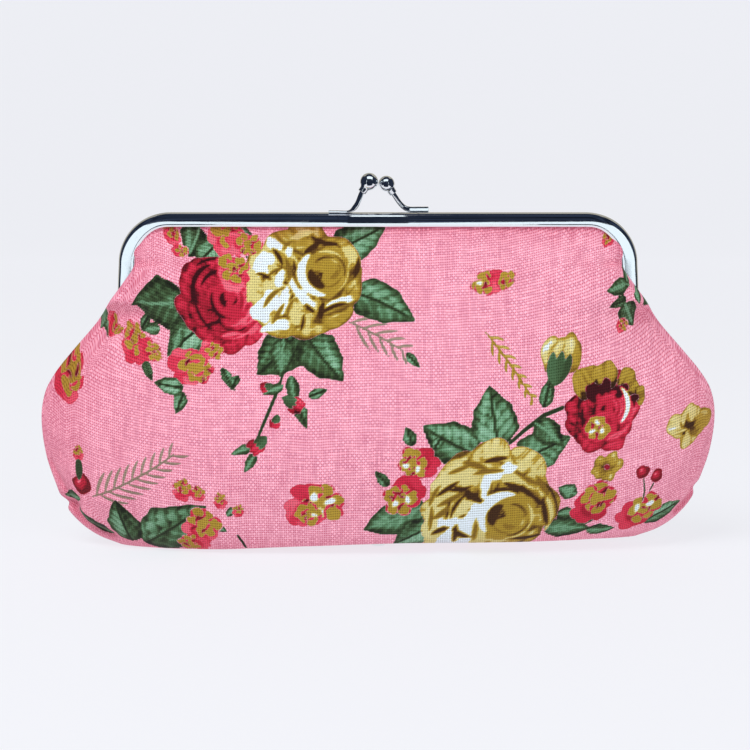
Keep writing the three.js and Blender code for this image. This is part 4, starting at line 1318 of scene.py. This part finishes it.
# ---- The clasp -------------------------------------------------------------------------------

CLASPS = {
    "front": {"side": -1, "ball_radius": 2.6, "ball": (-2.6, -0.6, 107.9), "foot": 11.6, "foot_height": 0.6},
    "back": {"side": 1, "ball_radius": 2.35, "ball": (2.45, 0.6, 107.3), "foot": 12.0, "foot_height": 1.6},
}
STEM_RADIUS = 0.76
COLLAR_RADIUS = 1.28
FOOT_BOTTOM = FRAME_TOP + 0.02
FOOT_WIDTH = 2.4


def smooth_path(points, steps):
    """A Catmull-Rom curve through the points."""
    points = [np.array(p, float) for p in points]
    padded = [2 * points[0] - points[1]] + points + [2 * points[-1] - points[-2]]
    path = []
    for i in range(1, len(padded) - 2):
        a, b, c, d = padded[i - 1:i + 3]
        for k in range(steps):
            t = k / steps
            path.append(0.5 * (2 * b + (c - a) * t + (2 * a - 5 * b + 4 * c - d) * t ** 2
                               + (3 * b - a - 3 * c + d) * t ** 3))
    path.append(padded[-2])
    return np.array(path)


def tube_rings(path, wide, tall, square, segments=32):
    """Rings round a path, each with its half width along Y, its half height and its squareness."""
    tangents = np.gradient(path, axis=0)
    tangents /= np.linalg.norm(tangents, axis=1, keepdims=True)
    angles = np.linspace(0, 2 * math.pi, segments, endpoint=False)
    side = np.array([0.0, 1.0, 0.0])
    rings = []
    for centre, tangent, w, h, n in zip(path, tangents, wide, tall, square):
        side = side - tangent * side.dot(tangent)
        side /= np.linalg.norm(side)
        up = np.cross(tangent, side)
        reach = (np.abs(np.cos(angles)) ** n + np.abs(np.sin(angles)) ** n) ** (-1 / n)
        rings.append(centre + np.outer(w * reach * np.cos(angles), side)
                     + np.outer(h * reach * np.sin(angles), up))
    return rings


def stem_points(clasp):
    side, foot, lift = clasp["side"], clasp["foot"], FOOT_BOTTOM + clasp["foot_height"] / 2
    ball = np.array(clasp["ball"])
    foot_y = side * 2.15
    start = np.array([side * (foot + 3.0), foot_y, lift])
    heel = np.array([side * (foot - 3.3), foot_y, lift + 0.12])
    knee = np.array([side * (foot - 5.4), side * 1.9, FOOT_BOTTOM + 2.3])
    neck = ball + np.array([side * 2.0, side * 0.5, -2.9])
    return [start, start - (side * 2.6, 0, 0), heel, knee, neck, ball]


def build_stem(half, material):
    """The bent stem: a flat, square-edged foot that turns into a round rod up to its ball."""
    clasp = CLASPS[half]
    path = smooth_path(stem_points(clasp), 12)
    share = np.linspace(0, 1, len(path))
    foot = 1 - smoothstep(0.36, 0.54, share)
    wide = STEM_RADIUS + (FOOT_WIDTH / 2 - STEM_RADIUS) * foot
    tall = STEM_RADIUS + (clasp["foot_height"] / 2 - STEM_RADIUS) * foot
    wide[0], tall[0] = 0.86 * wide[0], 0.8 * tall[0]
    path[0] = path[1] + 0.25 * (path[0] - path[1])
    points, faces = ring_sweep(tube_rings(path[:-2], wide[:-2], tall[:-2], 2 + 5 * foot[:-2]))
    obj = make_object(f"{half}_clasp_rod", points, faces)
    finish_metal(obj, material, f"{half}_half", f"{half}_clasp_stem")


def build_ball(half, material):
    """A ball that narrows to a stepped collar round the stem's tip."""
    clasp = CLASPS[half]
    radius = clasp["ball_radius"]
    ball = np.array(clasp["ball"])
    axis = np.array(stem_points(clasp)[-2]) - ball
    axis /= np.linalg.norm(axis)
    start = math.asin(COLLAR_RADIUS / radius)
    profile = [(-radius * math.cos(a), radius * math.sin(a))
               for a in np.linspace(0.03, math.pi - start - 0.12, 26)]
    reach = radius * math.cos(start)
    profile += [(reach + 0.12, COLLAR_RADIUS + 0.06), (reach + 0.3, COLLAR_RADIUS),
                (reach + 1.35, COLLAR_RADIUS * 0.97), (reach + 1.5, COLLAR_RADIUS * 0.88),
                (reach + 1.52, 0.92), (reach + 1.4, 0.74), (reach + 0.2, 0.72)]
    points, faces = ring_sweep(lathe(profile))
    side = np.cross(axis, (0, 1, 0))
    side /= np.linalg.norm(side)
    third = np.cross(axis, side)
    points = ball + points[:, :1] * axis + points[:, 1:2] * side + points[:, 2:] * third
    obj = make_object(f"{half}_clasp_knob", points, faces)
    finish_metal(obj, material, f"{half}_half", f"{half}_clasp_ball")


# ---- Studio ----------------------------------------------------------------------------------

FLOOR_Z = -0.2
SCREEN_ROWS, SCREEN_COLUMNS = 13, 33
SCREEN_CENTRE_Z = 92


def build_floor():
    """A pale sweep: a round floor that curves up into a low wall all the way round."""
    graph = Graph("studio_sweep")
    graph.set(Base_Color=linear(118, 119, 122), Roughness=0.9, Specular_IOR_Level=0.1)
    graph.set(Emission_Color=linear(239, 240, 245), Emission_Strength=0.83)
    flat, bend, wall, segments = 1500, 500, 1300, 96
    profile = [(2, FLOOR_Z), (flat, FLOOR_Z)]
    profile += [(flat + bend * math.sin(a), bend + FLOOR_Z - bend * math.cos(a))
                for a in np.linspace(0.1, math.pi / 2, 16)]
    profile.append((flat + bend, wall))
    rings = [np.array([(r * math.cos(a), r * math.sin(a), z)
                       for a in np.linspace(0, 2 * math.pi, segments, endpoint=False)]) for r, z in profile]
    points, faces = ring_sweep(rings, closed_ends=False)
    faces.append(tuple(range(segments)))
    sweep = make_object("studio_sweep", points, faces)
    sweep.data.materials.append(graph.material)


def add_area(name, place, target, size, power, colour=(1, 1, 1)):
    data = bpy.data.lights.new(name, "AREA")
    data.shape = "RECTANGLE"
    data.size, data.size_y = size[0] * MM, size[1] * MM
    data.energy = power
    data.color = colour
    light = bpy.data.objects.new(name, data)
    scene.collection.objects.link(light)
    light.location = Vector(place) * MM
    direction = (Vector(target) - Vector(place)) * MM
    light.rotation_euler = direction.to_track_quat("-Z", "Y").to_euler()
    light.visible_glossy = False


def card_of(name, points, faces, colours, glow):
    """A glowing card that only shows in reflections, where it paints what the chrome reflects. Its colour
    clouds between two.
    """
    graph = Graph(name)
    place = graph.node("ShaderNodeTexCoord").outputs["Object"]
    clouds = graph.range(graph.noise(place, 7.0, 2.0), 0.35, 0.65, 0.0, 1.0)
    colour = graph.mix(clouds, linear(*colours[0]), linear(*colours[1]))
    graph.set(Base_Color=(0, 0, 0, 1), Roughness=1.0, Specular_IOR_Level=0.0)
    graph.set(Emission_Color=colour, Emission_Strength=glow)
    card = make_object(name, points, faces, smooth=False)
    card.data.materials.append(graph.material)
    for ray in ("visible_camera", "visible_diffuse", "visible_shadow", "visible_transmission"):
        setattr(card, ray, False)


def add_card(name, centre, width, height, colours, target=(0, 0, 80), glow=1.0):
    """A flat card, square to the line to its target."""
    centre = Vector(centre)
    facing = (Vector(target) - centre).normalized()
    across = Vector((0, 0, 1)).cross(facing).normalized()
    upward = facing.cross(across)
    corners = [centre + across * (a * width / 2) + upward * (b * height / 2)
               for a, b in ((-1, -1), (1, -1), (1, 1), (-1, 1))]
    card_of(name, [tuple(c) for c in corners], [(0, 1, 2, 3)], colours, glow)


def add_screen(name, azimuths, low, high, distance, colours, glow=1.0):
    """A curved card round the frame, between two azimuths and two heights, all in degrees.

    Azimuth 0 is in front of the purse. The heights may be functions of the azimuth's size."""
    azimuth = np.linspace(*azimuths, SCREEN_COLUMNS)
    low, high = [edge(np.abs(azimuth)) if callable(edge) else np.full(SCREEN_COLUMNS, edge)
                 for edge in (low, high)]
    rise = np.linspace(0, 1, SCREEN_ROWS)[:, None]
    around, up = np.radians(azimuth)[None, :], np.radians(low + (high - low) * rise)
    points = np.stack([np.sin(around) * np.cos(up), -np.cos(around) * np.cos(up), np.sin(up)], axis=2)
    points = points * distance + np.array([0, 0, SCREEN_CENTRE_Z])
    faces = grid_faces(SCREEN_ROWS, SCREEN_COLUMNS).tolist()
    card_of(name, points.reshape(-1, 3), faces, colours, glow)


def build_studio():
    build_floor()
    world = bpy.data.worlds.new("studio_air")
    world.use_nodes = True
    background = world.node_tree.nodes["Background"]
    background.inputs["Color"].default_value = linear(246, 247, 251)
    background.inputs["Strength"].default_value = 0.30
    scene.world = world
    add_area("key", (-450, -560, 1050), (0, 0, 50), (700, 600), 8.6)
    add_area("fill", (700, -900, 500), (0, 0, 50), (800, 800), 2.4)
    # The cards below glow only in the chrome's reflections: painted reflections, which light nothing else.
    night, bright = ((20, 26, 38), (50, 60, 80)), ((232, 244, 250),) * 2
    olive, dull, blue = ((52, 58, 46), (74, 80, 64)), ((150, 147, 136), (196, 191, 178)), ((38, 52, 72),) * 2
    # The front and the sides reflect bright up to a height that peaks at 48 degrees round.
    window_top = through([(0, 3), (5.5, 8), (15.7, 16), (34, 27), (48, 31), (60, 25), (71, 12), (86, -7)])
    add_screen("bright_front", (-86, 86), -16, window_top, 640, bright, 1.18)
    add_screen("night_above", (-110, 110), window_top, 86, 700, night)
    add_screen("night_over_back", (100, 260), 60, 88, 720, night)
    for side in (-1, 1):
        name = "right" if side > 0 else "left"
        add_screen(f"olive_{name}", (side * 86, side * 112), -16, 60, 720, olive)
        add_card(f"dark_beside_clasp_{name}", (side * 12, -4, 110), 22, 17, night, target=(0, -4, 110))
        add_card(f"blue_below_{name}", (side * 182, -284, 33), 230, 66, blue, target=(side * 75, -4, 33))
    add_screen("dull_behind", (112, 248), -4, 60, 740, dull)
    add_card("dark_before_clasp", (0, -12, 105), 18, 18, night, target=(0, 0, 105))
    add_card("bright_above_clasp", (0, -8.8, 119), 16, 8, bright, target=(0, -2, 109), glow=1.3)


# ---- Assembly --------------------------------------------------------------------------------

SETTLED = {half: settle(*FILLINGS[half]) for half in ("front", "back")}
canvas = canvas_material()
lining = lining_material()
chrome = chrome_material("chrome_plate", (238, 241, 245), 0.12)
paper = paper_material()

for half in ("front", "back"):
    build_channel(half, chrome)
    for side in (-1, 1):
        build_ear(half, side, chrome)
    build_stem(half, chrome)
    build_ball(half, chrome)
    build_canvas(half, canvas)
    build_lining(half, lining)
    cord = frame["nodes"][f"{half}_paper_cord"]
    cord.data.materials.clear()
    cord.data.materials.append(paper)
for side in (-1, 1):
    build_rivet(side, chrome)

build_studio()
